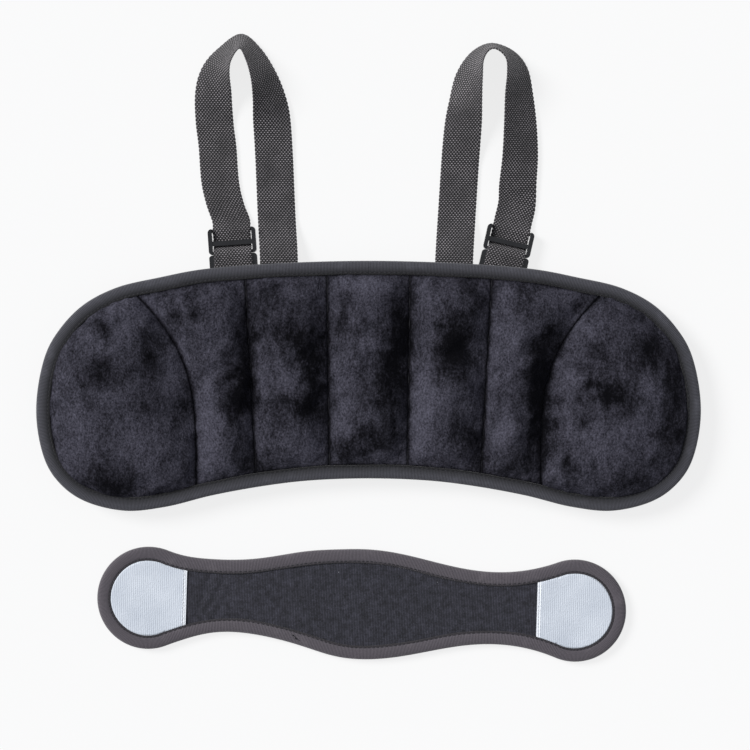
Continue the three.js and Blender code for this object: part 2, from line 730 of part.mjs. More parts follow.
const beltMiddle = trim([...waistTop, ...waistBottom].map((k) => beltEdge(k, sheetInset)));
addMesh("belt_centre_sheet", sheetGeometry(beltMiddle, SHEET_LOW, SHEET_HIGH), "knit");
for (const [name, side, indices] of [
  ["right", 1, waistRight],
  ["left", -1, waistLeft],
]) {
  const end = indices.map((k) => shy(beltEdge(k, sheetInset), side * BELT_WAIST_AT, side));
  addMesh("belt_" + name + "_end_sheet", sheetGeometry(end, SHEET_LOW, SHEET_HIGH), "knit");
  const patchInset = BINDING_WIDTH + LAYER_GAP;
  const patchEdge = indices.map((k) => beltEdge(k, patchInset)).filter((p) => side * p[0] > HOOK_EDGE_AT);
  const corner = (sign) => [side * HOOK_EDGE_AT, sign * (beltHalfAt(HOOK_EDGE_AT) - patchInset)];
  const outline = [corner(side), ...patchEdge, corner(-side)];
  const patchLow = SHEET_HIGH + LAYER_GAP;
  addMesh("belt_" + name + "_hook_patch", sheetGeometry(outline, patchLow, patchLow + HOOK_THICK), "hook");
}

// Half the belt's width on the waist curve at a distance along it.
function beltHalfAt(s) {
  return BELT_WAIST + WAIST_RADIUS - Math.sqrt(WAIST_RADIUS ** 2 - (s - BELT_WAIST_AT) ** 2);
}

for (const [name, indices, side] of [
  ["belt_right_end_binding", waistRight, 1],
  ["belt_left_end_binding", waistLeft, -1],
  ["belt_top_binding", waistTop, 0],
  ["belt_bottom_binding", waistBottom, 0],
]) {
  const stations = indices.map((k) => (inset, z) => {
    const raw = beltEdge(k, inset);
    const [x, y] = side ? shy(raw, side * BELT_WAIST_AT, side) : trim([raw])[0];
    return [...beltPlace(x, y), BELT_MID + z];
  });
  addMesh(name, sweptGeometry(stations, bindingProfile(BELT_HALF)), "beltTape");
}

export default root;
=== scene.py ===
"""Padded back brace: a quilted plush pad with two buckled webbing loops, and its separate belt.

Everything is in metres in the shared frame; the sizes below are in millimetres and each mesh
is turned to metres where it is made. X is the pad's length, Y is towards the loops, Z is up.
"""

import math

import bmesh
import bpy
import numpy as np
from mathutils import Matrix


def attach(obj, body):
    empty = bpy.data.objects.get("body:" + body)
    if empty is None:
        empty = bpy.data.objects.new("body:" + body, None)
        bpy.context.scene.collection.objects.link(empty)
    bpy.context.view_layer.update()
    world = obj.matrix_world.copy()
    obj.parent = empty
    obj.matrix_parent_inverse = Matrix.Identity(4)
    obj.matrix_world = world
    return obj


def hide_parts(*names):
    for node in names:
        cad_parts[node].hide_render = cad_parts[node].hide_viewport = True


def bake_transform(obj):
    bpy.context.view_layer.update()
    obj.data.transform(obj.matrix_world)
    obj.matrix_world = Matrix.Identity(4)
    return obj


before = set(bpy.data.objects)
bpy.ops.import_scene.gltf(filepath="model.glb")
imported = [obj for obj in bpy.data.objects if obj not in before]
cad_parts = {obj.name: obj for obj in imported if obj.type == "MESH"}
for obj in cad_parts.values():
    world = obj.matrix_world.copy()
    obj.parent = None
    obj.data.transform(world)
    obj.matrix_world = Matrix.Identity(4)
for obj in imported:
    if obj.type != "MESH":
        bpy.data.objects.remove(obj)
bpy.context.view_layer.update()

MM = 0.001
TURN = 2 * math.pi

# ---------------------------------------------------------------- camera, straight above

VIEW_MIDDLE = (4.2, -3.25)
VIEW_WIDTH = 487.5
VIEW_LEVEL = 12.0  # the height at which the view is that wide
LENS = 110.0
SENSOR = 36.0

camera_data = bpy.data.cameras.new("camera")
camera_data.lens = LENS
camera_data.sensor_width = SENSOR
camera_data.clip_start = 0.05
camera_data.clip_end = 60
camera = bpy.data.objects.new("camera", camera_data)
view_from = (*VIEW_MIDDLE, VIEW_LEVEL + VIEW_WIDTH * LENS / SENSOR)
camera.location = tuple(place * MM for place in view_from)
bpy.context.scene.collection.objects.link(camera)
bpy.context.scene.camera = camera

# ---------------------------------------------------------------- sizes, in millimetres

PAD_RIGHT = (
    (0, 71),
    (104, 66),
    (136, 60.2),
    (164, 53.5),
    (185, 42.6),
    (200, 27.5),
    (210, 9.8),
    (216, -27),
    (210, -59.4),
    (200, -74.4),
    (185, -85),
    (158.5, -91.5),
    (132, -89),
    (102, -81.6),
    (70, -75.7),
    (40, -72),
    (0, -70.5),
)  # right half of the pad's outline, from the middle of the top edge
SEAM_ENDS = {"inner": (26.9, 25.4), "outer": (80.0, 73.3), "wing": (150.3, 112.2)}
SEAM_INSET = 9.8
WING_PULL = ((112, -20), (110, 8))
DOME_INSET = 8.6
FLANGE_INSETS = (1.8, 5.2)
PAD_MID = 12.0
FLANGE = 1.35  # half the thickness of the two covers where they are bound
FRONT_CROWN = 11.2
BACK_CROWN = 12.4
PROPPED_CROWN = 2.5
COVER = 1.1
FOLD_HEIGHT = 14.5

TAPE_WIDTH = 9.0
TAPE = 0.75
RIB_PITCH = 0.95
RIB_RELIEF = 0.07

WEB_HALF = 12.5
WEB_THICK = 1.4
WEB_LOW = 1.0
ARCH_LOW = 1.8
WEB_SEWN = 8.6
WEAVE_ACROSS = 2.1
WEAVE_ALONG = 2.5
WEAVE_RELIEF = 0.13
WEB_STEP = 0.48
TAIL_Z = 8.5

BELT_CENTRE = (-4.5, -153.1)
BELT_TILT = math.radians(-1.72)
BELT_HUMP = 36.0
BELT_WAIST = 23.6
BELT_WAIST_AT = 87.0
BELT_END_AT = 139.5
BELT_END_RADIUS = 33.4
BELT_LOW = 1.4
BELT_HIGH = 4.6
BELT_MID = 3.0
HOOK_EDGE = 114.5
BELT_SPLIT = 58.0
BELT_FOLD = 12.0  # how far a belt fold's line reaches on each side of the waist
WING_BEND = 16.0  # and how far a wing's fold line reaches on each side of its seam
TAPE_BEND = 4.5  # the edge tape at a straight seam
SEAM_BEND = 2.6  # and the seam itself
KNIT_PITCH = 1.05
LOOP_PITCH = 0.8
HOOK_PITCH = 1.25

PAD_TAPE_HALF = 2.45  # half the height of the folded tape
PAD_STITCH = 2.05  # and how far above and below its middle the thread lies
BELT_TAPE_HALF = 2.7
BELT_STITCH = 2.27
STITCH_INSET = 7.7
STITCH_PITCH = 3.0
FOAM_UNDER = 1.7  # from the face of the plush down to the foam
FOAM_OVER = 1.5  # and from the back of the lining up to it
MOULD_EDGE = 0.9  # how far a mould rounds the buckle's edges

# The cloth that the plush is swelled as: its stiffness, the air under it, and 3% spare.
CLOTH = {
    "quality": 6,
    "mass": 0.3,
    "tension_stiffness": 12,
    "compression_stiffness": 12,
    "shear_stiffness": 5,
    "bending_stiffness": 0.6,
    "use_pressure": True,
    "uniform_pressure_force": 5.0,
    "shrink_min": -0.03,
}
CLOTH_STEPS = 20
CLOTH_CAP = 5.0  # the furthest that the cloth may move
START_SHARE = 0.82  # of the full crown, where the cloth starts


# ---------------------------------------------------------------- curves and shapes


def unit(v):
    """The same vectors at length 1."""
    return v / np.linalg.norm(v, axis=-1, keepdims=True)


def smooth(t):
    """Rises from 0 to 1 with level ends."""
    t = np.clip(t, 0, 1)
    return t * t * (3 - 2 * t)


def ripple(x, y, length, seed):
    """Soft uneven waves between -1 and 1: the mean of seven sines in seeded directions."""
    draw = np.random.default_rng(seed)
    total = 0
    for _ in range(7):
        angle, phase, size = (draw.uniform(*ends) for ends in ((0, TURN), (0, TURN), (0.7, 1.5)))
        run = x * math.cos(angle) + y * math.sin(angle)
        total = total + np.sin(run * TURN / (length * size) + phase)
    return total / 3.5


def cubic(t, start, start_slope, end, end_slope):
    """The cubic from one point to the next with these slopes at its ends."""
    return (
        (2 * t**3 - 3 * t**2 + 1) * start
        + (t**3 - 2 * t**2 + t) * start_slope
        + (3 * t**2 - 2 * t**3) * end
        + (t**3 - t**2) * end_slope
    )


def round_curve(corners, per_span=60):
    """A closed centripetal spline: each span is a cubic whose end slopes come from the points
    on both sides, weighted by the square roots of their distances."""
    p = np.array(corners, float)
    before, after, second = np.roll(p, 1, 0), np.roll(p, -1, 0), np.roll(p, -2, 0)
    d0, d1, d2 = (
        np.sqrt(np.linalg.norm(b - a, axis=1))[:, None]
        for a, b in ((before, p), (p, after), (after, second))
    )
    m0 = ((p - before) / d0 - (after - before) / (d0 + d1) + (after - p) / d1) * d1
    m1 = ((after - p) / d1 - (second - p) / (d1 + d2) + (second - after) / d2) * d1
    t = np.linspace(0, 1, per_span, endpoint=False)[None, :, None]
    return cubic(t, *(v[:, None, :] for v in (p, m0, after, m1))).reshape(-1, 2)


class Outline:
    """A closed clockwise path. at(share, inset) is the point at a share of its length, moved
    inwards along the tangent turned a quarter to the right."""

    def __init__(self, points):
        steps = np.linalg.norm(np.roll(points, -1, 0) - points, axis=1)
        self.reach = np.concatenate([[0], np.cumsum(steps)])
        self.length = self.reach[-1]
        ahead = unit(np.roll(points, -1, 0) - np.roll(points, 1, 0))
        self.columns = np.hstack([points, ahead])
        self.columns = np.vstack([self.columns, self.columns[:1]])

    def at(self, share, inset=0.0):
        along = np.mod(share, 1) * self.length
        x, y, tx, ty = (np.interp(along, self.reach, column) for column in self.columns.T)
        return np.stack([x + ty * inset, y - tx * inset], -1)


def squares(index):
    """The faces of a grid of point numbers."""
    corners = [index[:-1, :-1], index[1:, :-1], index[1:, 1:], index[:-1, 1:]]
    return np.stack(corners, -1).reshape(-1, 4)


def shell(top, bottom):
    """A closed skin between two grids of one size: both faces, and a wall round the rim."""
    n, m = top.shape[:2]
    index = np.arange(n * m).reshape(n, m)
    quads = squares(index)
    rim = np.concatenate([index[:, 0], index[-1, 1:], index[-2::-1, -1], index[0, -2:0:-1]])
    wall = np.stack([rim, np.roll(rim, -1), np.roll(rim, -1) + n * m, rim + n * m], -1)
    points = np.concatenate([top.reshape(-1, 3), bottom.reshape(-1, 3)])
    return points, [quads, quads[:, ::-1] + n * m, wall[:, ::-1]]


def sweep(rings):
    """A closed profile carried along a path: rings is (stations, profile points, 3)."""
    n, k = rings.shape[:2]
    index = np.arange(n * k).reshape(n, k)
    turned = np.roll(index, -1, axis=1)
    sides = np.stack([index[:-1], turned[:-1], turned[1:], index[1:]], -1).reshape(-1, 4)
    return rings.reshape(-1, 3), [sides, np.stack([index[0][::-1], index[-1]])]


def placed(name, mesh, finish):
    """The mesh as a smooth object in the scene, with its finish."""
    mesh.shade_smooth()
    mesh.materials.clear()
    mesh.materials.append(finish)
    piece = bpy.data.objects.new(name, mesh)
    bpy.context.scene.collection.objects.link(piece)
    return piece


def make(name, shape, finish, turned_out=True, finer=0, marks=None):
    """A mesh object from points in mm and arrays of faces, with its marks and finish."""
    points, faces = shape
    loops = np.concatenate([f.ravel() for f in faces])
    sizes = np.concatenate([np.full(len(f), f.shape[1]) for f in faces])
    mesh = bpy.data.meshes.new(name)
    mesh.vertices.add(len(points))
    mesh.vertices.foreach_set("co", (points * MM).astype(np.float32).ravel())
    mesh.loops.add(len(loops))
    mesh.loops.foreach_set("vertex_index", loops.astype(np.int32))
    mesh.polygons.add(len(sizes))
    mesh.polygons.foreach_set("loop_start", (np.cumsum(sizes) - sizes).astype(np.int32))
    mesh.update(calc_edges=True)
    mesh.validate()
    for label, values in (marks or {}).items():
        kind, field = ("FLOAT_VECTOR", "vector") if values.ndim == 2 else ("FLOAT", "value")
        attribute = mesh.attributes.new(label, kind, "POINT")
        attribute.data.foreach_set(field, values.astype(np.float32).ravel())
    if turned_out:
        work = bmesh.new()
        work.from_mesh(mesh)
        bmesh.ops.recalc_face_normals(work, faces=work.faces)
        work.to_mesh(mesh)
        work.free()
    piece = placed(name, mesh, finish)
    if finer:
        modifier = piece.modifiers.new("finer", "SUBSURF")
        modifier.levels = modifier.render_levels = finer
    return piece


def joined(shapes):
    """Several closed shapes as one set of points and faces."""
    points, faces, offset = [], [], 0
    for shape_points, shape_faces in shapes:
        points.append(shape_points)
        faces += [f + offset for f in shape_faces]
        offset += len(shape_points)
    return np.concatenate(points), faces


# ---------------------------------------------------------------- materials


def linear(code):
    """An sRGB hex colour as linear RGBA."""
    levels = [int(code[i : i + 2], 16) / 255 for i in (1, 3, 5)]
    return [c / 12.92 if c <= 0.04045 else ((c + 0.055) / 1.055) ** 2.4 for c in levels] + [1.0]


def material(name):
    """A new empty material, and the function that adds a node to it."""
    made = bpy.data.materials.new(name)
    made.use_nodes = True
    tree = made.node_tree
    tree.nodes.clear()

    def put(kind, sockets=None, out=0, **own):
        """Adds a node and returns one of its outputs. Each socket gets a number, a hex colour
        or another node's output; the rest are the node's own settings."""
        node = tree.nodes.new("ShaderNode" + kind)
        for key, value in own.items():
            setattr(node, key, value)
        for key, value in (sockets or {}).items():
            if isinstance(value, bpy.types.NodeSocket):
                tree.links.new(value, node.inputs[key])
            else:
                node.inputs[key].default_value = linear(value) if isinstance(value, str) else value
        return node.outputs[out] if node.outputs else None

    return made, put


def weighed(put, *parts):
    """The sum of several patterns, each times its weight."""
    total = 0.0
    for pattern, weight in parts:
        total = put("Math", {0: pattern, 1: weight, 2: total}, operation="MULTIPLY_ADD")
    return total


def toned(put, *tones):
    """A first colour turned into the next ones, each as far as its own pattern says."""
    colour = tones[0]
    for pattern, following in tones[1:]:
        colour = put("Mix", {0: pattern, 6: colour, 7: following}, out=2, data_type="RGBA")
    return colour


def surface(put, colour, height=None, strength=1.0, depth=0.0, **shader):
    """The last nodes of a finish: a bump this many metres deep, the shader and the output."""
    sockets = {key.replace("_", " "): value for key, value in shader.items()}
    if height is not None:
        sockets["Normal"] = put("Bump", {"Strength": strength, "Distance": depth, "Height": height})
    put("OutputMaterial", {"Surface": put("BsdfPrincipled", {"Base Color": colour, **sockets})})


def wave_scale(pitch):
    """The scale at which a wave pattern repeats every so many millimetres."""
    return TURN / 20 / (pitch * MM)


def plush_finish():
    """Polyester short-pile plush: near black, with patches where the pile lies the other way, painted
    light and shade on the flanks beside the seams, painted shade in the creases at the seams and binding,
    a greyish purple sheen and a soft grain."""
    made, put = material("polyester_plush")
    place = put("TexCoord", out="Object")
    brushed, strokes, tufts, grain = (
        put(
            "TexNoise",
            {
                "Vector": put("Mapping", {"Vector": place, "Scale": (1.0, tall, 1.0)}),
                "Scale": scale,
                "Detail": 4.0,
                "Roughness": 0.62,
                "Distortion": twist,
            },
        )
        for scale, twist, tall in (
            (45.0, 0.6, 0.6),
            (170.0, 0.4, 0.5),
            (430.0, 0.0, 0.7),
            (850.0, 0.0, 0.8),
        )
    )
    # painted light and shade: the patches hold both where the pile lies another way and the lit and
    # shaded flanks beside the seams
    nap_and_flank_light_in = put("Attribute", out="Fac", attribute_name="nap_and_flank_light")
    lie_and_flank_light = weighed(put, (nap_and_flank_light_in, 1.3), (brushed, 1.8), (strokes, 1.8), (tufts, 1.2), (grain, 1.1))
    lit = put(
        "MapRange", {"Value": lie_and_flank_light, "From Min": 1.8, "From Max": 4.15}, interpolation_type="SMOOTHSTEP"
    )
    fibres = put("MapRange", {"Value": grain, "From Min": 0.25, "From Max": 0.75})
    hollows = toned(put, "#040405", (lit, "#2b2a31"))
    tips = toned(put, "#0e0e12", (lit, "#5f5e6b"))
    # painted shade: the pile is darkened to near black in the creases at the seams and the binding
    painted_crease_shade = put("Attribute", out="Fac", attribute_name="crease_shade")
    surface(
        put,
        toned(put, hollows, (fibres, tips), (painted_crease_shade, "#020203")),
        weighed(put, (grain, 0.8), (strokes, 1.0), (tufts, 1.0)),
        0.7,
        0.0012,
        Roughness=0.95,
        Specular_IOR_Level=0.05,
        Sheen_Weight=0.16,
        Sheen_Roughness=0.45,
        Sheen_Tint="#9c9ab4",
    )
    return made


def lining_finish():
    """Black plain-woven nylon backing: a flat dull cloth whose threads are 0.6 mm apart."""
    made, put = material("woven_nylon_lining")
    place = put("TexCoord", out="Object")
    rows = [
        put(
            "TexWave",
            {"Vector": place, "Scale": 520.0, "Distortion": 0.6, "Detail": 1.0},
            out="Fac",
            bands_direction=direction,
        )
        for direction in ("X", "Y")
    ]
    threads = put("Math", {0: rows[0], 1: rows[1]}, operation="MULTIPLY")
    cloudy = put("TexNoise", {"Vector": place, "Scale": 60.0, "Detail": 4.0})
    mixed = weighed(put, (threads, 0.5), (cloudy, 0.6))
    colour = toned(put, "#101013", (mixed, "#2b2b31"))
    surface(put, colour, threads, 0.4, 0.0003, Roughness=0.8, Specular_IOR_Level=0.25, Sheen_Weight=0.2)
    return made


def foam_finish():
    """Open-cell polyurethane foam: pale cream, with pores about a millimetre wide."""
    made, put = material("polyurethane_foam")
    pores = put("TexVoronoi", {"Vector": put("TexCoord", out="Object"), "Scale": 900.0})
    colour = toned(put, "#a8a192", (pores, "#e4ded0"))
    surface(put, colour, pores, 0.6, 0.0006, Roughness=0.95, Specular_IOR_Level=0.2)
    return made


def tape_finish(name, low, high, worn, shaded):
    """Ribbed polyester binding tape: fine ribs across it, lighter where the tape rubs, and painted shade
    beside the stitches along its inner edge, next to the cover, up to this many millimetres from that
    edge."""
    made, put = material(name)
    place = put("TexCoord", out="Object")
    laid = put("Attribute", out="Vector", attribute_name="laid")
    across, along = (put("SeparateXYZ", {0: laid}, out=axis) for axis in "XY")
    swing = put("Math", {0: along, 1: TURN / RIB_PITCH}, operation="MULTIPLY")
    wave = put("Math", {0: swing}, operation="COSINE")
    ribs = put("Math", {0: wave, 1: 0.5, 2: 0.5}, operation="MULTIPLY_ADD")
    rubbed = put("TexNoise", {"Vector": place, "Scale": 90.0, "Detail": 5.0, "Roughness": 0.6})
    fluff = put("TexNoise", {"Vector": place, "Scale": 1600.0, "Detail": 2.0})
    weight = weighed(put, (ribs, 0.62), (fluff, 0.4))
    wear = put("MapRange", {"Value": rubbed, "From Min": 0.55, "From Max": 1.1})
    # painted shade: the tape is darkened from its inner edge, next to the cover, out to shaded
    # millimetres
    sewn = put("MapRange", {"Value": across, "From Min": 0.6, "From Max": shaded})
    tape = toned(put, low, (weight, high), (wear, worn))
    surface(
        put,
        toned(put, low, (sewn, tape)),
        weighed(put, (ribs, 0.5), (fluff, 1.0)),
        0.35,
        0.0003,
        Roughness=0.78,
        Specular_IOR_Level=0.3,
        Sheen_Weight=0.3,
        Sheen_Roughness=0.5,
    )
    return made


def webbing_finish():
    """Black polypropylene webbing in plain weave: each raised thread catches the light as a grey dot,
    staggered from row to row, and soft patches carry painted shade for a rumpled strap."""
    made, put = material("polypropylene_webbing")
    place = put("TexCoord", out="Object")
    laid = put("Attribute", out="Vector", attribute_name="laid")
    waves = []
    for axis, turns in (("X", 1 / WEAVE_ACROSS), ("Y", 1 / WEAVE_ALONG), ("Y", 2 / WEAVE_ALONG)):
        part = put("SeparateXYZ", {0: laid}, out=axis)
        swing = put("Math", {0: part, 1: TURN * turns}, operation="MULTIPLY")
        waves.append(put("Math", {0: swing}, operation="COSINE"))
    raised = put("Math", {0: waves[0], 1: waves[1]}, operation="MULTIPLY")
    uneven = put("TexNoise", {"Vector": place, "Scale": 700.0, "Detail": 3.0})
    height = weighed(put, (raised, 1.0), (waves[2], 0.45), (uneven, 1.2))
    dots = put(
        "MapRange", {"Value": height, "From Min": 0.6, "From Max": 1.7}, interpolation_type="SMOOTHSTEP"
    )
    # painted shade: soft darker patches stand in for the shading of a rumpled strap
    rumpled = put("TexNoise", {"Vector": place, "Scale": 65.0, "Detail": 3.0})
    painted_rumple_shade = put("MapRange", {"Value": rumpled, "From Min": 0.38, "From Max": 0.68, "To Max": 0.5})
    colour = toned(put, "#0b0a0c", (dots, "#a39da1"), (painted_rumple_shade, "#1a181a"))
    surface(put, colour, height, 0.7, 0.0004, Roughness=0.55, Specular_IOR_Level=0.45, Sheen_Weight=0.15)
    return made


def plastic_finish():
    """Moulded acetal: black with a soft gloss and the faint grain of the mould."""
    made, put = material("moulded_acetal")
    place = put("TexCoord", out="Object")
    grain = put("TexNoise", {"Vector": place, "Scale": 1800.0, "Detail": 2.0})
    cloudy = put("TexNoise", {"Vector": place, "Scale": 120.0, "Detail": 3.0})
    rough = put("MapRange", {"Value": cloudy, "To Min": 0.14, "To Max": 0.28})
    colour = toned(put, "#101012", (cloudy, "#1f2022"))
    surface(put, colour, grain, 0.12, 0.0002, Roughness=rough, Specular_IOR_Level=0.8, IOR=1.48)
    return made


def knit_finish():
    """Fine rib-knit polyester over thin foam: black, with ribs about a millimetre apart that
    run across the belt, and loops along each rib."""
    made, put = material("rib_knit_polyester")
    turned = put("Mapping", {"Vector": put("TexCoord", out="Object"), "Rotation": (0, 0, -BELT_TILT)})
    ribs, loops = (
        put(
            "TexWave",
            {"Vector": turned, "Scale": wave_scale(pitch), "Distortion": twist, "Detail": 1.0},
            out="Fac",
            bands_direction=direction,
        )
        for direction, pitch, twist in (("X", KNIT_PITCH, 0.5), ("Y", LOOP_PITCH, 2.0))
    )
    fluff, lint, uneven = (
        put("TexNoise", {"Vector": turned, "Scale": scale, "Detail": detail})
        for scale, detail in ((900.0, 3.0), (420.0, 1.0), (260.0, 4.0))
    )
    mottled = put("Math", {0: weighed(put, (fluff, 1.0), (uneven, 1.0)), 1: 2.2}, operation="POWER")
    knitted = weighed(put, (ribs, 0.45), (loops, 0.15))
    weight = put("Math", {0: knitted, 1: mottled}, operation="MULTIPLY")
    specks = put("MapRange", {"Value": lint, "From Min": 0.81, "From Max": 0.86})
    colour = toned(put, "#070709", (weight, "#535360"), (specks, "#8d8f96"))
    height = weighed(put, (ribs, 1.0), (loops, 0.4))
    surface(put, colour, height, 0.4, 0.0003, Roughness=0.85, Specular_IOR_Level=0.25, Sheen_Weight=0.3)
    return made


def hook_finish():
    """Nylon hook tape: pale blue-grey with fine rows of tiny hooks, slightly glossy."""
    made, put = material("nylon_hook_tape")
    turned = put("Mapping", {"Vector": put("TexCoord", out="Object"), "Rotation": (0, 0, -BELT_TILT)})
    rows = put(
        "TexWave",
        {"Vector": turned, "Scale": wave_scale(HOOK_PITCH), "Distortion": 0.2},
        out="Fac",
        bands_direction="X",
    )
    tips = put("TexVoronoi", {"Vector": turned, "Scale": 1100.0})
    cloudy = put("TexNoise", {"Vector": turned, "Scale": 55.0, "Detail": 3.0})
    weight = weighed(put, (rows, 0.55), (cloudy, 0.6))
    selvage = put("Attribute", out="Fac", attribute_name="selvage")
    colour = toned(put, "#adb6c3", (weight, "#e8eef6"), (selvage, "#e9edf3"))
    height = weighed(put, (rows, 1.0), (tips, 0.7))
    surface(put, colour, height, 0.5, 0.0004, Roughness=0.5, Specular_IOR_Level=0.5, Sheen_Weight=0.2)
    return made


def thread_finish(name, low, high):
    """Twisted polyester sewing thread: slightly glossy, its strands paler and darker."""
    made, put = material(name)
    strands = put("TexNoise", {"Vector": put("TexCoord", out="Object"), "Scale": 2500.0, "Detail": 2.0})
    surface(put, toned(put, low, (strands, high)), Roughness=0.6, Specular_IOR_Level=0.4)
    return made


def board_finish():
    """A lit white table: it glows a little, so that the pieces throw hardly any shadow."""
    made, put = material("lit_white_board")
    cloudy = put("TexNoise", {"Vector": put("TexCoord", out="Object"), "Scale": 3.0, "Detail": 2.0})
    surface(
        put,
        toned(put, "#6e6e6e", (cloudy, "#707070")),
        Roughness=0.9,
        Specular_IOR_Level=0.05,
        Emission_Color="#ffffff",
        Emission_Strength=0.80,
    )
    return made


plush = plush_finish()
lining = lining_finish()
foam = foam_finish()
pad_tape = tape_finish("pad_edge_tape", "#08080b", "#57575f", "#64646d", 6.0)
belt_tape = tape_finish("belt_edge_tape", "#262327", "#6c666d", "#746e73", 2.0)
webbing = webbing_finish()
acetal = plastic_finish()
knit = knit_finish()
hook_tape = hook_finish()
dark_thread = thread_finish("black_polyester_thread", "#0c0c0f", "#2a2a30")
white_thread = thread_finish("white_polyester_thread", "#cfd5dc", "#f4f7fa")
white_board = board_finish()

# ---------------------------------------------------------------- pad: outline, seams and cells

mirrored = [(-x, y) for x, y in PAD_RIGHT[-2:0:-1]]
pad_edge = Outline(round_curve(list(PAD_RIGHT) + mirrored))


def share_at(x, start, end):
    """The share of the pad's outline whose inset point has this X."""
    shares = np.linspace(start, end, 4001)
    reached = pad_edge.at(shares, SEAM_INSET)[:, 0]
    order = np.argsort(reached)
    return float(np.interp(x, reached[order], shares[order]))


seams = {k: (share_at(top, 0.0, 0.25), share_at(low, 0.25, 0.5)) for k, (top, low) in SEAM_ENDS.items()}


def seam_line(kind, f, inset=DOME_INSET):
    """Points of a seam from the bottom (0) to the top (1): straight, or a cubic curve for the
    wing."""
    f = np.asarray(f, float)[:, None]
    top, low = (pad_edge.at(seams[kind][k], inset) for k in (0, 1))
    if kind != "wing":
        return low + (top - low) * f
    pulls = np.array(WING_PULL, float)
    weights = ((1 - f) ** 3, 3 * f * (1 - f) ** 2, 3 * f**2 * (1 - f), f**3)
    return sum(w * p for w, p in zip(weights, (low, pulls[0], pulls[1], top)))


def bend(piece, kind, side, near, far, half):
    """Bakes the piece's transform into its mesh and finds the two ends of a line across a seam, this far
    to each side of it; nothing bends the piece. near and far are not used."""
    top, low = (pad_edge.at(end, SEAM_INSET) * [side, 1] for end in seams[kind])
    along = unit(top - low)
    outward = np.array([along[1], -along[0]]) * side
    middle = (low + top) / 2
    start, end = ((*(middle + outward * d) * MM, FOLD_HEIGHT * MM) for d in (-half, half))
    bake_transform(piece)
    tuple(start)
    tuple(end)


def spaced(t):
    """Grid lines closer together near both ends."""
    return t - 0.1 * np.sin(TURN * t)


def channel(kind, columns, rows):
    """Plan and lift of a straight cell. Between its seams and edges the plan is a Coons patch:
    the two ruled surfaces less the bilinear one; the lift is a flat-topped arch both ways."""
    near = {"centre": None, "inner": "inner", "outer": "outer"}[kind]
    far = {"centre": "inner", "inner": "outer", "outer": "wing"}[kind]
    top_to, low_to = seams[far]
    top_from, low_from = seams[near] if near else (-top_to, 1 - low_to)
    a = spaced(np.linspace(0, 1, columns))
    f = spaced(np.linspace(0, 1, rows))
    top_share, low_share = top_from + (top_to - top_from) * a, low_from + (low_to - low_from) * a
    bottom, top = pad_edge.at(low_share, DOME_INSET), pad_edge.at(top_share, DOME_INSET)
    right = seam_line(far, f)
    left = seam_line(near, f) if near else right * np.array([-1.0, 1.0])
    au, fu = a[:, None, None], f[None, :, None]
    plan = (
        (1 - fu) * bottom[:, None]
        + fu * top[:, None]
        + (1 - au) * left[None]
        + au * right[None]
        - (1 - fu) * ((1 - au) * bottom[0] + au * bottom[-1])
        - fu * ((1 - au) * top[0] + au * top[-1])
    )
    below = np.stack([pad_edge.at(low_share, inset) for inset in FLANGE_INSETS], 1)
    above = np.stack([pad_edge.at(top_share, inset) for inset in FLANGE_INSETS[::-1]], 1)
    lift = (1 - np.abs(2 * au[..., 0] - 1) ** 2.4) * (1 - np.abs(2 * fu[..., 0] - 1) ** 5)
    flat = np.zeros((columns, len(FLANGE_INSETS)))
    return np.concatenate([below, plan, above], 1), np.concatenate([flat, lift, flat], 1)


def wing(columns, rows):
    """Plan and lift of the D-shaped wing: straight lines from the seam curve to the edge."""
    a = spaced(np.linspace(0.004, 0.996, rows))
    f = spaced(np.linspace(0, 1, columns))
    share = seams["wing"][1] + (seams["wing"][0] - seams["wing"][1]) * a
    inner, outer = seam_line("wing", a), pad_edge.at(share, DOME_INSET)
    au, fu = a[None, :, None], f[:, None, None]
    plan = (1 - fu) * inner[None] + fu * outer[None]
    beyond = np.stack([pad_edge.at(share, inset) for inset in FLANGE_INSETS[::-1]], 0)
    lift = (1 - np.abs(2 * au[..., 0] - 1) ** 5) * (1 - np.abs(2 * fu[..., 0] - 1) ** 3)
    flat = np.zeros((len(FLANGE_INSETS), rows))
    return np.concatenate([plan, beyond], 0), np.concatenate([lift, flat], 0)


def crease_shade_mask(kind, plan):
    """Painted shade in the crease at the nearest seam or binding: 1 on the stitches, falling away over a
    few millimetres."""
    if kind == "wing":
        borders = (plan[:1], plan[-3:-2])
    else:
        borders = (plan[:1], plan[-1:], plan[:, 2:3], plan[:, -3:-2])
    away = np.min([np.linalg.norm(plan - border, axis=-1) for border in borders], axis=0)
    if kind == "wing":
        away = np.minimum(away, np.linalg.norm(plan[:, :1] - plan, axis=-1) + 1.5)
        away = np.minimum(away, np.linalg.norm(plan[:, -1:] - plan, axis=-1) + 1.5)
    return 0.85 * np.exp(-((away / 1.3) ** 2)) + 0.15 * np.exp(-away / 4)


def flipped(grid):
    """The same grid on the left side, still facing up."""
    turned = grid[::-1].copy()
    if turned.ndim == 3:
        turned[..., 0] *= -1
    return turned


# Each buckle's middle bar, and its turn.
BUCKLES = {-1: (-89.0, 83.1, 4.0), 1: (91.3, 83.1, -13.0)}


def tab_room(x, y, side):
    """1 in the shallow bay of the pad's back that the buckle's tab slides along, 0 elsewhere."""
    bx, by, turn = BUCKLES[side]
    middle = bx - (y - by) * math.tan(math.radians(turn))
    return smooth((19 - np.abs(x - middle)) / 4) * smooth((y + 9) / 6)
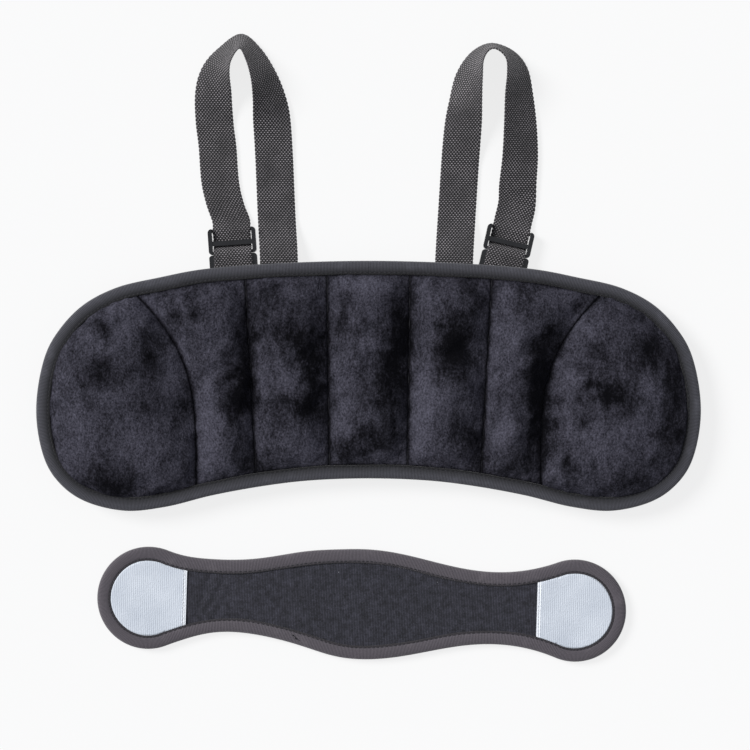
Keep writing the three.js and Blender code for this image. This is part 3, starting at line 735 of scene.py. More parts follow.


# Patches where the pile lies another way, and painted light and shade on the cell flanks beside the
# seams, mostly dark to the left of a seam and light to its right: x, y, half width, half height, and how
# much lighter (+) or darker (-) it is painted there.
NAP_AND_FLANK_LIGHT = (
    (-171, -1, 14, 10, -0.8),
    (-170, -74, 18, 13, -0.8),
    (-118, -21, 8, 13, -0.6),
    (-170, 25, 7, 6, -0.6),
    (-142, -19, 7, 6, -0.4),
    (-142, 11, 7, 12, -0.5),
    (-149, 40, 20, 14, 0.4),
    (-124, -3, 8, 20, 0.4),
    (-149, -49, 22, 14, 0.3),
    (-190, -30, 10, 20, 0.2),
    (-104, -38, 11, 34, 0.5),
    (-79, 5, 9, 32, -0.8),
    (-87, -20, 7, 12, -0.6),
    (-115, 51, 4, 7, -0.5),
    (-109, 33, 5, 7, -0.5),
    (-125, 34, 5, 5, -0.5),
    (-78, -40, 3, 10, 0.5),
    (-49, 22, 13, 11, -0.7),
    (-66, 46, 10, 9, -0.6),
    (-36, -4, 8, 30, -0.8),
    (-54, -21, 17, 9, -0.6),
    (-45, 51, 12, 8, 0.3),
    (-54, -4, 9, 9, 0.3),
    (-43, -52, 18, 12, 0.4),
    (-69, -1, 4, 26, 0.5),
    (-72, -62, 9, 8, -0.5),
    (-5, 54, 18, 10, 0.4),
    (-16, 38, 4, 11, -0.6),
    (21, 25, 9, 26, -0.8),
    (15, -10, 12, 24, -0.7),
    (-18, -10, 6, 20, 0.4),
    (-17, -35, 8, 11, 0.4),
    (-18, -52, 10, 7, -0.6),
    (5, -45, 15, 9, -0.7),
    (8, 16, 9, 1.6, 0.5),
    (13, -57, 12, 5, 0.3),
    (53, 25, 10, 13, -0.8),
    (58, 11, 10, 11, -0.8),
    (48, 2, 5, 9, -0.5),
    (70, 42, 7, 13, -0.5),
    (34, -27, 8, 32, 0.5),
    (56, -35, 5, 11, -0.4),
    (69, -50, 7, 15, -0.6),
    (50, -22, 12, 10, 0.3),
    (41, 45, 9, 11, 0.3),
    (88, 24, 9, 26, 0.4),
    (123, 45, 12, 7, 0.3),
    (118, 16, 11, 11, -0.7),
    (138, 40, 9, 9, -0.6),
    (111, -26, 8, 32, -0.9),
    (103, -1, 9, 13, -0.5),
    (96, -60, 11, 9, -0.6),
    (88, -36, 7, 19, 0.4),
    (129, -6, 7, 30, 0.5),
    (139, 30, 11, 13, 0.4),
    (153, 4, 6, 12, -0.6),
    (149, -15, 9, 7, -0.9),
    (165, -19, 6, 10, -0.8),
    (184, 11, 11, 11, -0.7),
    (197, -11, 8, 18, -0.7),
    (194, -45, 9, 16, -0.7),
    (138, -32, 4, 6, -0.7),
    (129, -57, 4, 10, -0.6),
    (164, -42, 20, 15, 0.4),
    (174, -73, 18, 5, -0.5),
    (179, -11, 8, 10, 0.3),
)


def nap_and_flank_light(x, y):
    """How the pile lies, with painted light and shade beside the seams: the sum of soft oval patches,
    with wavering borders.
    """
    x = x + 3.0 * ripple(x, y, 14, 5)
    y = y + 4.0 * ripple(x, y, 18, 6)
    total = np.zeros_like(x)
    for cx, cy, wide, high, amount in NAP_AND_FLANK_LIGHT:
        total += amount * np.exp(-(((x - cx) / wide) ** 2 + ((y - cy) / high) ** 2))
    return total


def swell(grids, sewn):
    """Cloth simulation of all the front covers at once: pressure from below swells them
    between their sewn edges. Returns the grids after the last step."""
    points, faces, offset = [], [], 0
    for grid in grids:
        n, m = grid.shape[:2]
        faces.append(squares(np.arange(n * m).reshape(n, m) + offset))
        points.append(grid.reshape(-1, 3))
        offset += n * m
    points, held = np.concatenate(points), np.concatenate([s.ravel() for s in sewn])
    cloth_piece = make("swelling_cloth", (points, faces), plush, turned_out=False)
    group = cloth_piece.vertex_groups.new(name="sewn")
    group.add(np.flatnonzero(held).tolist(), 1.0, "REPLACE")
    cloth = cloth_piece.modifiers.new("swelling", "CLOTH")
    for key, value in CLOTH.items():
        setattr(cloth.settings, key, value)
    cloth.settings.vertex_group_mass = "sewn"
    cloth.settings.effector_weights.gravity = 0
    cloth.collision_settings.use_collision = False
    for step in range(1, CLOTH_STEPS + 1):
        bpy.context.scene.frame_set(step)
    result = cloth_piece.evaluated_get(bpy.context.evaluated_depsgraph_get()).to_mesh()
    moved = np.empty(len(points) * 3, np.float32)
    result.vertices.foreach_get("co", moved)
    shift = moved.reshape(-1, 3) / MM - points
    size = np.linalg.norm(shift, axis=1, keepdims=True)
    points = points + shift * np.minimum(1, CLOTH_CAP / np.maximum(size, 1e-9))
    bpy.data.objects.remove(cloth_piece)
    bpy.context.scene.frame_set(1)
    out, offset = [], 0
    for grid in grids:
        count = grid.shape[0] * grid.shape[1]
        out.append(points[offset : offset + count].reshape(grid.shape))
        offset += count
    return out


plans = {
    "centre": channel("centre", 25, 55),
    "inner": channel("inner", 25, 55),
    "outer": channel("outer", 33, 55),
    "wing": wing(37, 57),
}
cells = [("centre_panel", "centre", 1)]
for label, side in (("left", -1), ("right", 1)):
    cells += [(f"{label}_{k}", k.split("_")[0], side) for k in ("inner_panel", "outer_panel", "wing")]

starts, sewn_masks, all_plans = [], [], []
for name, kind, side in cells:
    plan, lift = plans[kind]
    if side < 0:
        plan, lift = flipped(plan), flipped(lift)
    x, y = plan[..., 0], plan[..., 1]
    crown = START_SHARE * FRONT_CROWN + 0.9 * ripple(x, y, 34, 11) + 0.35 * ripple(x, y, 13, 12)
    starts.append(np.stack([x, y, PAD_MID + FLANGE + lift * crown], -1))
    mask = np.zeros(lift.shape, bool)
    mask[[0, -1], :] = True
    mask[:, [0, -1]] = True
    mask |= lift <= 1e-9
    sewn_masks.append(mask)
    crease_shade = crease_shade_mask(kind, plans[kind][0])
    all_plans.append((plan, lift, flipped(crease_shade) if side < 0 else crease_shade))

fronts = swell(starts, sewn_masks)

for (name, kind, side), front, (plan, lift, crease_shade) in zip(cells, fronts, all_plans):
    x, y = plan[..., 0], plan[..., 1]
    front[..., 2] = np.maximum(front[..., 2], PAD_MID + 0.3 + FLANGE - 0.15)
    under = front - [0, 0, COVER]
    crown = np.full(x.shape, BACK_CROWN)
    if kind in ("inner", "outer"):
        crown = PROPPED_CROWN + (BACK_CROWN - PROPPED_CROWN) * smooth((12 - y) / 26)
    room = tab_room(x, y, side)
    crown = crown + (PROPPED_CROWN - crown) * room
    drop = crown * lift + 0.5 * (1 - room) * lift * ripple(x, y, 16, 21) * (crown > 4)
    back_z = np.maximum(0.0, PAD_MID - FLANGE - drop)
    back = np.stack([x, y, back_z], -1)
    lie_and_flank_light = nap_and_flank_light(x, y)
    cover = make(
        name + "_plush_cover",
        shell(front, under),
        plush,
        finer=1,
        marks={"nap_and_flank_light": np.tile(lie_and_flank_light.ravel(), 2), "crease_shade": np.tile(crease_shade.ravel(), 2)},
    )
    backing = make(name + "_back_lining", shell(back + [0, 0, COVER], back), lining)
    inside = (slice(4, -4), slice(5, -5))
    filling = make(
        name + "_foam_filling",
        shell(front[inside] - [0, 0, FOAM_UNDER], back[inside] + [0, 0, FOAM_OVER]),
        foam,
    )
    for piece, node in ((cover, "_front_cover"), (backing, "_back_cover"), (filling, "_foam_core")):
        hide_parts(name + node)
        if kind in ("outer", "wing"):
            hand = name.split("_")[0]
            bend(piece, "wing", side, hand + "_outer_panel", hand + "_wing", WING_BEND)
        else:
            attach(piece, name)

# ---------------------------------------------------------------- straight seams between the cells


def seam_strip(name, kind, side):
    """A sewn ridge under a straight seam: a lens 4.4 mm wide between the covers, filling the
    space that opens at the back when the pad folds."""
    f = np.linspace(0, 1, 90)
    line = seam_line(kind, f, 2.5) * np.array([side, 1.0])
    across = np.array([1.0, 0.0]) * side
    turns = np.linspace(0, TURN, 14, endpoint=False)
    wide, high = 2.2 * np.cos(turns), 1.35 * np.sin(turns)
    rings = np.empty((len(f), len(turns), 3))
    rings[..., :2] = line[:, None] + wide[None, :, None] * across
    rings[..., 2] = PAD_MID + high + 0.05 * np.sin(TURN * f * 70)[:, None]
    return make(name, sweep(rings), lining)


for label, side in (("left", -1), ("right", 1)):
    for kind, near, far in (
        ("inner", "centre_panel", label + "_inner_panel"),
        ("outer", label + "_inner_panel", label + "_outer_panel"),
    ):
        bend(seam_strip(f"{label}_{kind}_seam", kind, side), kind, side, near, far, SEAM_BEND)

# ---------------------------------------------------------------- edge binding and its stitches


def tape_profile(half_height):
    """The closed section of the tape folded round an edge: out over the top, round the edge, in
    under the bottom, and back along its inner face. Returns its points as (inset, height), the
    way round to each, the directions they face, and 1 where the tape is ribbed."""
    outer = [
        (TAPE_WIDTH, 0.80),
        (8.75, 0.93),
        (8.2, 0.90),
        (7.7, 0.80),
        (7.2, 0.91),
        (6.2, 0.99),
        (4.6, 1.03),
        (3.0, 1.02),
        (1.6, 0.94),
        (0.6, 0.72),
        (0.05, 0.34),
    ]
    upper = [(i, z * half_height) for i, z in outer]
    lower = [(i, -z) for i, z in upper[::-1]]
    inner_half = half_height - TAPE
    back = [(8.9, -0.72 * half_height), (3.0, -inner_half), (1.3, -0.5 * inner_half)]
    back += [(i, -z) for i, z in back[::-1]]
    section = np.array(upper + lower + back)
    steps = np.linalg.norm(np.diff(section, axis=0, append=section[:1]), axis=1)
    across = np.concatenate([[0], np.cumsum(steps)[:-1]])
    facing = np.roll(section, -1, 0) - np.roll(section, 1, 0)
    normal = unit(np.stack([facing[:, 1], -facing[:, 0]], -1))
    ribbed = np.concatenate([np.ones(2 * len(upper)), np.zeros(len(back))])
    return section, across, normal, ribbed


def binding(name, edge, place, start, end, middle, half_height, finish):
    """The tape along an outline from one share to another: its section, ribbed across, with the
    crests of the ribs standing proud by a cosine of the distance along."""
    section, across, normal, ribbed = tape_profile(half_height)
    length = (end - start) * edge.length
    stations = int(length / (RIB_PITCH / 4)) + 1
    share = np.linspace(start, end, stations)
    along = share * edge.length
    relief = RIB_RELIEF * np.cos(TURN * along / RIB_PITCH)[:, None] * ribbed[None]
    soft = 0.16 * np.sin(along / 7.3 + 1)[:, None] * (section[:, 0] > 5)[None]
    inset = section[None, :, 0] + normal[None, :, 0] * relief + soft
    high = section[None, :, 1] + normal[None, :, 1] * relief
    outer, deep = edge.at(share, 0.0), edge.at(share, 1.0)
    plan = outer[:, None] + (deep - outer)[:, None] * inset[..., None]
    rings = np.concatenate([place(plan), (middle + high)[..., None]], -1)
    laid = np.stack(np.broadcast_arrays(across[None], along[:, None], 0.0), -1)
    return make(name, sweep(rings), finish, marks={"laid": laid.reshape(-1, 3)})


def stitches(plan, height, ahead, length, thick):
    """One thread loop per point: an oval tapering to both ends, lying along ahead, one and a
    half times as wide as it stands."""
    along = np.array([-0.5, -0.36, 0.0, 0.36, 0.5]) * length
    girth = np.array([0.35, 0.8, 1.0, 0.8, 0.35])[:, None]
    turns = np.linspace(0, TURN, 6, endpoint=False)
    aside = np.stack([-ahead[:, 1], ahead[:, 0]], -1)
    sway = girth * np.cos(turns) * thick / 2
    ring = np.empty((len(plan), *sway.shape, 3))
    ring[..., :2] = (
        plan[:, None, None]
        + ahead[:, None, None] * along[None, :, None, None]
        + aside[:, None, None] * sway[None, ..., None]
    )
    ring[..., 2] = height[:, None, None] + girth * np.sin(turns) * thick / 3
    shift = (np.arange(len(plan)) * sway.size)[:, None, None]
    faces = [(part[None] + shift).reshape(-1, part.shape[1]) for part in sweep(ring[0])[1]]
    return ring.reshape(-1, 3), faces


def edge_stitches(name, edge, place, start, end, heights, thick):
    """A sewn row along an outline, on top of the tape and again underneath it."""
    count = max(2, int((end - start) * edge.length / STITCH_PITCH))
    share = start + (end - start) * (np.arange(count) + 0.5) / count
    step = 0.5 / edge.length
    here, before, after = (place(edge.at(share + d, STITCH_INSET)) for d in (0, -step, step))
    rows = [
        stitches(here, np.full(count, level), unit(after - before), STITCH_PITCH * 0.68, thick)
        for level in heights
    ]
    return make(name, joined(rows), dark_thread)


def as_it_is(plan):
    """The pad's outline already lies in the frame."""
    return plan


(TOP_INNER, LOW_INNER), (TOP_OUTER, LOW_OUTER) = (
    [(a + b) / 2 for a, b in zip(seams[kind], seams[following])]
    for kind, following in (("inner", "outer"), ("outer", "wing"))
)
for label, side in (("left", -1), ("right", 1)):
    inner, outer, end_wing = (label + part for part in ("_inner_panel", "_outer_panel", "_wing"))
    round_end = (outer + "_top_binding", outer + "_bottom_binding", end_wing + "_binding")
    for part, start, end, kind, near, far, nodes in (
        ("top_inner", 0.0, TOP_INNER, "inner", "centre_panel", inner, ["centre_panel_top_binding"]),
        ("top_outer", TOP_INNER, TOP_OUTER, "outer", inner, outer, [inner + "_top_binding"]),
        ("wing", TOP_OUTER, LOW_OUTER, "wing", outer, end_wing, round_end),
        ("bottom_outer", LOW_OUTER, LOW_INNER, "outer", inner, outer, [inner + "_bottom_binding"]),
        ("bottom_inner", LOW_INNER, 0.5, "inner", "centre_panel", inner, ["centre_panel_bottom_binding"]),
    ):
        if side < 0:
            start, end = 1 - end, 1 - start
        name = f"{label}_{part}_edge_"
        tape = binding(
            name + "tape", pad_edge, as_it_is, start, end, PAD_MID, PAD_TAPE_HALF, pad_tape
        )
        heights = (PAD_MID + PAD_STITCH, PAD_MID - PAD_STITCH)
        sewn = edge_stitches(
            name + "stitches", pad_edge, as_it_is, start, end, heights, 0.75
        )
        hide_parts(*nodes)
        half = WING_BEND if kind == "wing" else TAPE_BEND
        bend(tape, kind, side, near, far, half)
        bend(sewn, kind, side, near, far, half)

# ---------------------------------------------------------------- webbing loops and tabs


# Along each strap: x, y, the height of its lower edge, its heading and its lean.
LOOPS = {
    "left": (
        (-58.3, 60, WEB_SEWN, 0, 0),
        (-58.6, 76, WEB_SEWN - 1.2, 0, 0),
        (-60.2, 101, WEB_LOW, 0, 0),
        (-61.7, 136.5, WEB_LOW, 0, 0),
        (-63, 160, ARCH_LOW, 0, 8),
        (-64.4, 176, ARCH_LOW, 6, 30),
        (-68.2, 191, ARCH_LOW, 25, 47),
        (-74.8, 205, ARCH_LOW, 52, 57),
        (-83.3, 213.6, ARCH_LOW, 90, 60),
        (-93.4, 205.2, ARCH_LOW, 130, 55),
        (-99.4, 194.5, ARCH_LOW, 158, 36),
        (-101.4, 180, ARCH_LOW, 176, 12),
        (-100.8, 162, WEB_LOW, 180, 0),
        (-98.9, 146, WEB_LOW, 180, 0),
        (-97.2, 123.5, WEB_LOW, 180, 0),
        (-94, 109, WEB_LOW, 181.5, 0),
    ),
    "right": (
        (55.4, 60, WEB_SEWN, 180, 0),
        (56, 76, WEB_SEWN - 1.2, 180, 0),
        (57.7, 101, WEB_LOW, 180, 0),
        (59.8, 134, WEB_LOW, 180, 0),
        (61.6, 158, ARCH_LOW, 180, 12),
        (63.2, 175, ARCH_LOW, 176, 32),
        (65.6, 191, ARCH_LOW, 162, 46),
        (71.2, 204.5, ARCH_LOW, 130, 66),
        (80.3, 210.4, ARCH_LOW, 92, 75),
        (91, 205.5, ARCH_LOW, 56, 68),
        (96.6, 195, ARCH_LOW, 24, 52),
        (98, 180, ARCH_LOW, 6, 40),
        (99, 160, ARCH_LOW, 0, 28),
        (99, 140, ARCH_LOW, 0, 18),
        (97.6, 122, ARCH_LOW, 0, 8),
        (97.1, 108.4, WEB_LOW, -13, 0),
    ),
}
# Through the buckle, along its own Y: how far from the bar, and the webbing's height there.
THREADED = (
    (15, WEB_LOW + 0.5),
    (8.6, 3.3),
    (4.6, 2.9),
    (0, 2.6),
    (-2.3, 3.1),
    (-5, 7.2),
    (-7.6, TAIL_Z),
    (-12, TAIL_Z),
    (-30, TAIL_Z),
)
# The tab behind the socket, the same way.
TAB = ((-38, 2.9), (-40.4, 5.3), (-42.6, 5.9), (-46.6, 6.6), (-60.6, 6.9))
ARCH_END = 11.94  # the station where the sewn strap becomes the buckle's leg


def open_spline(values, t):
    """A uniform cubic through the stations at places t, its slopes half the step between the
    neighbours on each side; past the ends the line goes on straight."""
    v = np.array(values, float)
    v = np.vstack([2 * v[0] - v[1], v, 2 * v[-1] - v[-2]])
    k = np.minimum(np.floor(t).astype(int), len(values) - 2)
    p0, p1, p2, p3 = v[k], v[k + 1], v[k + 2], v[k + 3]
    return cubic((t - k)[:, None], p1, (p2 - p0) / 2, p2, (p3 - p1) / 2)


def web(name, path, start, end, lowest=WEB_LOW):
    """Flat webbing along stations (x, y, height of its lower edge, heading, lean): its width
    points along the heading, tipped by the lean, and its faces carry the raised threads of the
    weave, a cosine across times a cosine along."""
    fine = np.linspace(start, end, 4000)
    stations = open_spline(path, fine)
    steps = np.linalg.norm(np.diff(stations[:, :3], axis=0), axis=1)
    reach = np.concatenate([[0], np.cumsum(steps)])
    before = open_spline(path, np.linspace(0, max(start, 1e-3), 1500))
    shift = np.linalg.norm(np.diff(before[:, :3], axis=0), axis=1).sum() if start > 0 else 0.0
    count = int(reach[-1] / WEB_STEP) + 2
    t = np.interp(np.linspace(0, reach[-1], count), reach, fine)
    along = np.linspace(0, reach[-1], count) + shift
    x, y, low, heading, lean = open_spline(path, t).T
    heading, lean = np.radians(heading), np.radians(np.maximum(lean, 0))
    centre = np.stack([x, y, np.maximum(low, lowest) + WEB_HALF * np.sin(lean)], -1)
    wide = np.stack([np.cos(heading) * np.cos(lean), np.sin(heading) * np.cos(lean), -np.sin(lean)], -1)
    ahead = unit(np.gradient(np.stack([x, y, low], -1), axis=0))
    through = unit(np.cross(wide, ahead))
    through *= np.sign(through[:, 2:])
    u = np.linspace(-1, 1, int(2 * WEB_HALF / WEB_STEP) + 2)
    swing = np.cos(TURN * along / WEAVE_ALONG)[:, None]
    weave = np.cos(TURN * (u * WEB_HALF)[None] / WEAVE_ACROSS) * swing
    edge = 1 - np.abs(u) ** 26
    thick = (WEB_THICK / 2 - 0.1) * (0.45 + 0.55 * edge)[None] + WEAVE_RELIEF * weave
    selvage = 0.16 * swing * (np.abs(u) > 0.97)[None]
    width = u[None] * (WEB_HALF - 0.15 + selvage)
    middle = centre[:, None] + wide[:, None] * width[..., None]
    faces = [middle + through[:, None] * (way * thick)[..., None] for way in (1, -1)]
    laid = np.stack([width, np.broadcast_to(along[:, None], width.shape), 0 * width], -1).reshape(-1, 3)
    return make(name, shell(*faces), webbing, marks={"laid": np.concatenate([laid, laid])})


def past_bar(side, stations):
    """Stations of a strap given along a buckle's own Y, from its middle bar."""
    bx, by, turn = BUCKLES[side]
    c, d = math.cos(math.radians(turn)), math.sin(math.radians(turn))
    return tuple((bx - y * d, by + y * c, z, 90 - 90 * side + turn, 0) for y, z in stations)


for label, side in (("left", -1), ("right", 1)):
    path = LOOPS[label] + past_bar(side, THREADED)
    strap = web(label + "_webbing_loop", path, 0.0, ARCH_END)
    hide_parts(label + "_strap_webbing")
    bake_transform(strap)
    leg = web(label + "_webbing_buckle_leg", path, ARCH_END, len(path) - 1)
    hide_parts(label + "_strap_buckle_leg")
    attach(leg, label + "_outer_panel")
    tab = web(label + "_webbing_tab", past_bar(side, TAB), 0.0, len(TAB) - 1)
    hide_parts(label + "_buckle_tab")
    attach(tab, label + "_socket")

# ---------------------------------------------------------------- buckles


def moulded(name, node, body):
    """The buckle part's own shape with its edges rounded, as a mould leaves them."""
    mesh = bpy.data.meshes.new(name)
    work = bmesh.new()
    work.from_mesh(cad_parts[node].data)
    bmesh.ops.remove_doubles(work, verts=work.verts, dist=0.00002)
    bmesh.ops.dissolve_limit(work, angle_limit=math.radians(0.5), verts=work.verts, edges=work.edges)
    bmesh.ops.recalc_face_normals(work, faces=work.faces)
    work.to_mesh(mesh)
    work.free()
    piece = placed(name, mesh, acetal)
    rounded = piece.modifiers.new("rounded", "BEVEL")
    rounded.width = MOULD_EDGE * MM
    rounded.segments = 3
    rounded.limit_method = "ANGLE"
    rounded.angle_limit = math.radians(32)
    levelled = piece.modifiers.new("levelled", "WEIGHTED_NORMAL")
    levelled.weight = 100
    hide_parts(node)
    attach(piece, body)


for label in ("left", "right"):
    moulded(label + "_plug_ladder", label + "_buckle_plug", label + "_outer_panel")
    moulded(label + "_socket_shell", label + "_buckle_socket", label + "_socket")
    for place in ("outer", "inner"):
        moulded(f"{label}_{place}_arm", f"{label}_buckle_{place}_release_arm", f"{label}_{place}_arm")

# ---------------------------------------------------------------- belt: S along it, V across it

WAIST_REACH = BELT_END_AT - BELT_WAIST_AT
WAIST_RADIUS = WAIST_REACH**2 + BELT_WAIST**2 - BELT_END_RADIUS**2
WAIST_RADIUS /= 2 * (BELT_END_RADIUS - BELT_WAIST)
WAIST_LEAN = math.hypot(WAIST_REACH, BELT_WAIST + WAIST_RADIUS)
ARCS_MEET = BELT_WAIST_AT + WAIST_RADIUS * WAIST_REACH / WAIST_LEAN


def belt_half(s):
    """Half the belt's width: a cosine from the hump to the waist, an arc curving out, and the
    round end."""
    s = np.abs(s)
    swing = (BELT_HUMP - BELT_WAIST) / 2
    hump = BELT_WAIST + swing + swing * np.cos(np.pi * s / BELT_WAIST_AT)
    arc = np.sqrt(np.maximum(0, WAIST_RADIUS**2 - (s - BELT_WAIST_AT) ** 2))
    flare = BELT_WAIST + WAIST_RADIUS - arc
    round_end = np.sqrt(np.maximum(0, BELT_END_RADIUS**2 - (s - BELT_END_AT) ** 2))
    return np.where(s < BELT_WAIST_AT, hump, np.where(s < ARCS_MEET, flare, round_end))


def belt_place(plan):
    """Belt coordinates to the frame: a bow upwards near the left, then the belt's tilt."""
    s = plan[..., 0]
    v = plan[..., 1] + 3 * np.exp(-(((s + 68) / 44) ** 4))
    c, d = math.cos(BELT_TILT), math.sin(BELT_TILT)
    return np.stack([BELT_CENTRE[0] + s * c - v * d, BELT_CENTRE[1] + s * d + v * c], -1)


def rim_distance(s, v):
    """How far a point is inside the belt's outline."""
    s = np.abs(s)
    beside = (belt_half(s) - np.abs(v)) * np.where(s < ARCS_MEET, 0.96, 1.0)
    return np.where(s < ARCS_MEET, beside, BELT_END_RADIUS - np.hypot(s - BELT_END_AT, v))


def belt_piece(name, start, end, inset, rows, pitch, top, bottom, finish, marks=None):
    """A flat piece of the belt between two places along it: columns a quarter of a rib apart,
    each as long as the belt is wide there."""
    s = np.linspace(start, end, int(abs(end - start) / (pitch / 4)) + 1)[:, None]
    half = np.maximum(belt_half(s) - inset, 0.3)
    v = half * np.linspace(-1, 1, rows)[None]
    s = np.broadcast_to(s, v.shape)
    plan = belt_place(np.stack([s, v], -1))
    faces = [np.concatenate([plan, level(s, v)[..., None]], -1) for level in (top, bottom)]
    values = {k: np.tile(f(s, v).ravel(), 2) for k, f in (marks or {}).items()}
    return make(name, shell(*faces), finish, marks=values)


def knit_top(s, v):
    """The belt's face: ribs across it, a slight swell, and three slanting creases beside the
    left patch."""
    high = BELT_HIGH + 0.11 * np.cos(TURN * s / KNIT_PITCH) + 0.18 * ripple(s, v, 30, 31)
    for at, slant, depth in ((-104, 0.35, 0.5), (-96, 0.55, 0.4), (-88, 0.6, 0.3)):
        high -= depth * np.exp(-(((s - at - slant * v) / 2.4) ** 2)) * smooth(rim_distance(s, v) / 12)
    swell = 0.35 * smooth((rim_distance(s, v) - 8) / 10)
    return np.where(rim_distance(s, v) < 8.5, np.minimum(high, BELT_HIGH + 0.1), high + swell)


def knit_bottom(s, v):
    """The belt's back: the same cloth, drawn smoother."""
    return BELT_LOW + 0.03 * np.cos(TURN * s / KNIT_PITCH)


def belt_bend(piece, label):
    """Finds the ends of the fold line across the waist for a piece of the belt's end and bakes the
    piece's transform into its mesh; nothing bends it.
    """
    side = -1 if label == "left" else 1
    ends = [belt_place(np.array([side * (BELT_WAIST_AT + d), 0.0])) for d in (-BELT_FOLD, BELT_FOLD)]
    start, end = ((*(p * MM), 5.8 * MM) for p in ends)
    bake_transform(piece)
    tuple(start)
    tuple(end)


belt_end_inside = BELT_END_AT + BELT_END_RADIUS - 1.9
for name, start, end, node in (
    ("belt_knit_middle", -BELT_SPLIT, BELT_SPLIT, "belt_centre_sheet"),
    ("belt_knit_left", -belt_end_inside, -BELT_SPLIT, "belt_left_end_sheet"),
    ("belt_knit_right", BELT_SPLIT, belt_end_inside, "belt_right_end_sheet"),
):
    cloth_piece = belt_piece(name, start, end, 1.9, 29, KNIT_PITCH, knit_top, knit_bottom, knit)
    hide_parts(node)
    if start == -BELT_SPLIT:
        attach(cloth_piece, "belt")
    else:
        belt_bend(cloth_piece, "left" if start < 0 else "right")


def hook_top(s, v):
    """The hook tape's face: low where the binding holds it, then standing a millimetre proud,
    in rows along its straight edge."""
    rows = 0.09 * np.cos(TURN * s / HOOK_PITCH) * smooth((np.abs(s) - HOOK_EDGE - 2.4) / 0.5)
    held = smooth((rim_distance(s, v) - 8.9) / 0.5)
    selvage = 0.25 * smooth((HOOK_EDGE + 2.6 - np.abs(s)) / 0.8)
    return BELT_HIGH + 0.3 + (0.85 + rows - selvage) * held


def hook_bottom(s, v):
    """The hook tape's back, just over the knit."""
    return np.full_like(v, BELT_HIGH + 0.02)


def selvage_mark(s, v):
    """1 on the plain strip along the tape's straight edge, 0 on the hooks."""
    return smooth((HOOK_EDGE + 2.6 - np.abs(s)) / 0.6)


for label, side in (("left", -1), ("right", 1)):
    body = f"belt_{label}_end"
    patch = belt_piece(
        f"belt_{label}_hook_tape",
        side * HOOK_EDGE,
        side * (BELT_END_AT + BELT_END_RADIUS - 8.4),
        8.4,
        91,
        HOOK_PITCH,
        hook_top,
        hook_bottom,
        hook_tape,
        {"selvage": selvage_mark},
    )
    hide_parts(f"belt_{label}_hook_patch")
    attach(patch, body)
    rows = []
    for at, pitch in ((HOOK_EDGE + 0.9, 2.1), (HOOK_EDGE + 2.3, 2.4)):
        half = float(belt_half(np.array(at))) - 9.4
        count = int(2 * half / pitch)
        v = np.linspace(-half, half, count)
        s = np.full(count, side * at)
        here = belt_place(np.stack([s, v], -1))
        ahead = unit(belt_place(np.stack([s, v + 0.5], -1)) - here)
        rows.append(stitches(here, hook_top(s, v) + 0.05, ahead, pitch * 0.7, 0.55))
    sewn = make(f"belt_{label}_hook_stitches", joined(rows), white_thread)
    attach(sewn, body)

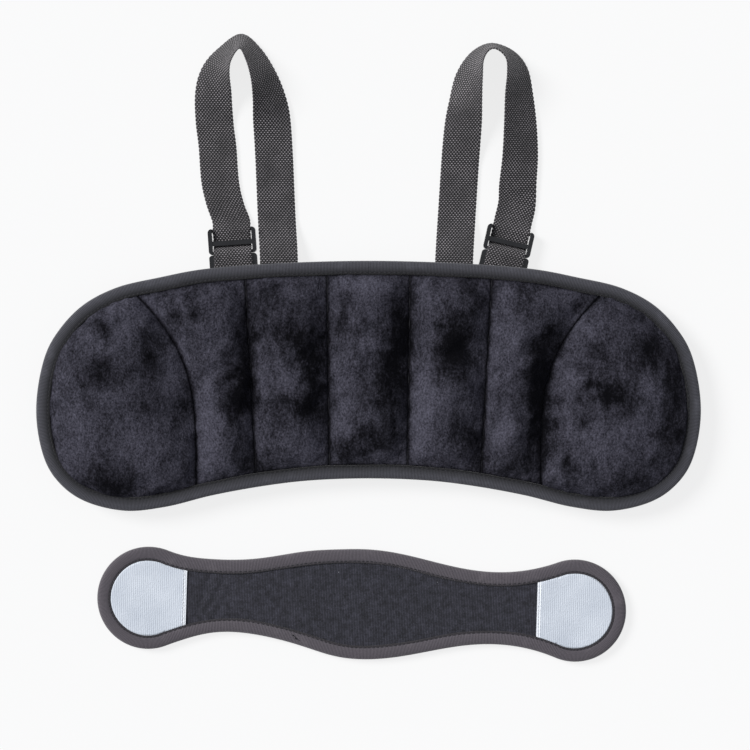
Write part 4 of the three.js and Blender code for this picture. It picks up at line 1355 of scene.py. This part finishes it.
last_turn = math.acos((ARCS_MEET - BELT_END_AT) / BELT_END_RADIUS)
round_end = BELT_END_AT + BELT_END_RADIUS * np.cos(np.linspace(last_turn, 0, 160)[1:])
quarter_s = np.concatenate([np.linspace(0, ARCS_MEET, 260), round_end])
quarter = np.stack([quarter_s, belt_half(quarter_s)], -1)
belt_edge = Outline(
    np.concatenate(
        [
            quarter,
            (quarter * [1, -1])[-2::-1],
            (quarter * [-1, -1])[1:],
            (quarter * [-1, 1])[-2:0:-1],
        ]
    )
)
trial = np.linspace(0, 0.25, 4001)
split = float(np.interp(BELT_SPLIT, belt_edge.at(trial, 0.0)[:, 0], trial))
for name, start, end, node, label in (
    ("top", -split, split, "belt_top_binding", None),
    ("right", split, 0.5 - split, "belt_right_end_binding", "right"),
    ("bottom", 0.5 - split, 0.5 + split, "belt_bottom_binding", None),
    ("left", 0.5 + split, 1 - split, "belt_left_end_binding", "left"),
):
    name = f"belt_{name}_edge_"
    tape = binding(
        name + "tape",
        belt_edge,
        belt_place,
        start,
        end,
        BELT_MID,
        BELT_TAPE_HALF,
        belt_tape,
    )
    heights = (BELT_MID + BELT_STITCH, BELT_MID - BELT_STITCH)
    sewn = edge_stitches(
        name + "stitches", belt_edge, belt_place, start, end, heights, 0.7
    )
    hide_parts(node)
    for piece in (tape, sewn):
        if label:
            belt_bend(piece, label)
        else:
            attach(piece, "belt")


def loose_thread():
    """A loose end of thread, knotted where the belt's binding was finished: a thin tube along
    a wavering line, thicker at its knot."""
    t = np.linspace(0, 1, 60)
    x = -49.7 + 4.2 * t + 1.1 * np.sin(7 * t)
    y = -173.9 - 2.2 * t + 0.9 * np.cos(9 * t)
    line = np.stack([x, y, BELT_MID + 2.9 + 0.5 * np.sin(np.pi * t)], -1)
    ahead = unit(np.gradient(line, axis=0))
    aside = unit(np.cross(ahead, [0, 0, 1]))
    above = np.cross(aside, ahead)
    turns = np.linspace(0, TURN, 8, endpoint=False)[None, :, None]
    girth = 0.16 + 0.32 * np.exp(-((t / 0.06) ** 2))
    round_it = aside[:, None] * np.cos(turns) + above[:, None] * np.sin(turns)
    rings = line[:, None] + girth[:, None, None] * round_it
    return make("belt_loose_thread", sweep(rings), dark_thread)


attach(loose_thread(), "belt")

# ---------------------------------------------------------------- floor and light

FLOOR_REACH = 15000.0
FLOOR_DROP = 0.4

ground = np.full((4, 3), -FLOOR_DROP)
ground[:, 0] = [-FLOOR_REACH, -FLOOR_REACH, FLOOR_REACH, FLOOR_REACH]
ground[:, 1] = [-FLOOR_REACH, FLOOR_REACH, -FLOOR_REACH, FLOOR_REACH]
floor = make("floor", (ground, [np.array([[0, 2, 3, 1]])]), white_board, turned_out=False)

sun_data = bpy.data.lights.new("window", "SUN")
sun_data.energy = 3.3
sun_data.angle = math.radians(24)
sun = bpy.data.objects.new("window", sun_data)
sun.rotation_euler = (math.radians(-22), math.radians(-50), 0)
bpy.context.scene.collection.objects.link(sun)

world = bpy.data.worlds.new("room")
bpy.context.scene.world = world
world.use_nodes = True
world.node_tree.nodes["Background"].inputs["Color"].default_value = linear("#f4f7ff")
world.node_tree.nodes["Background"].inputs["Strength"].default_value = 0.38
bpy.context.scene.view_settings.view_transform = "Standard"
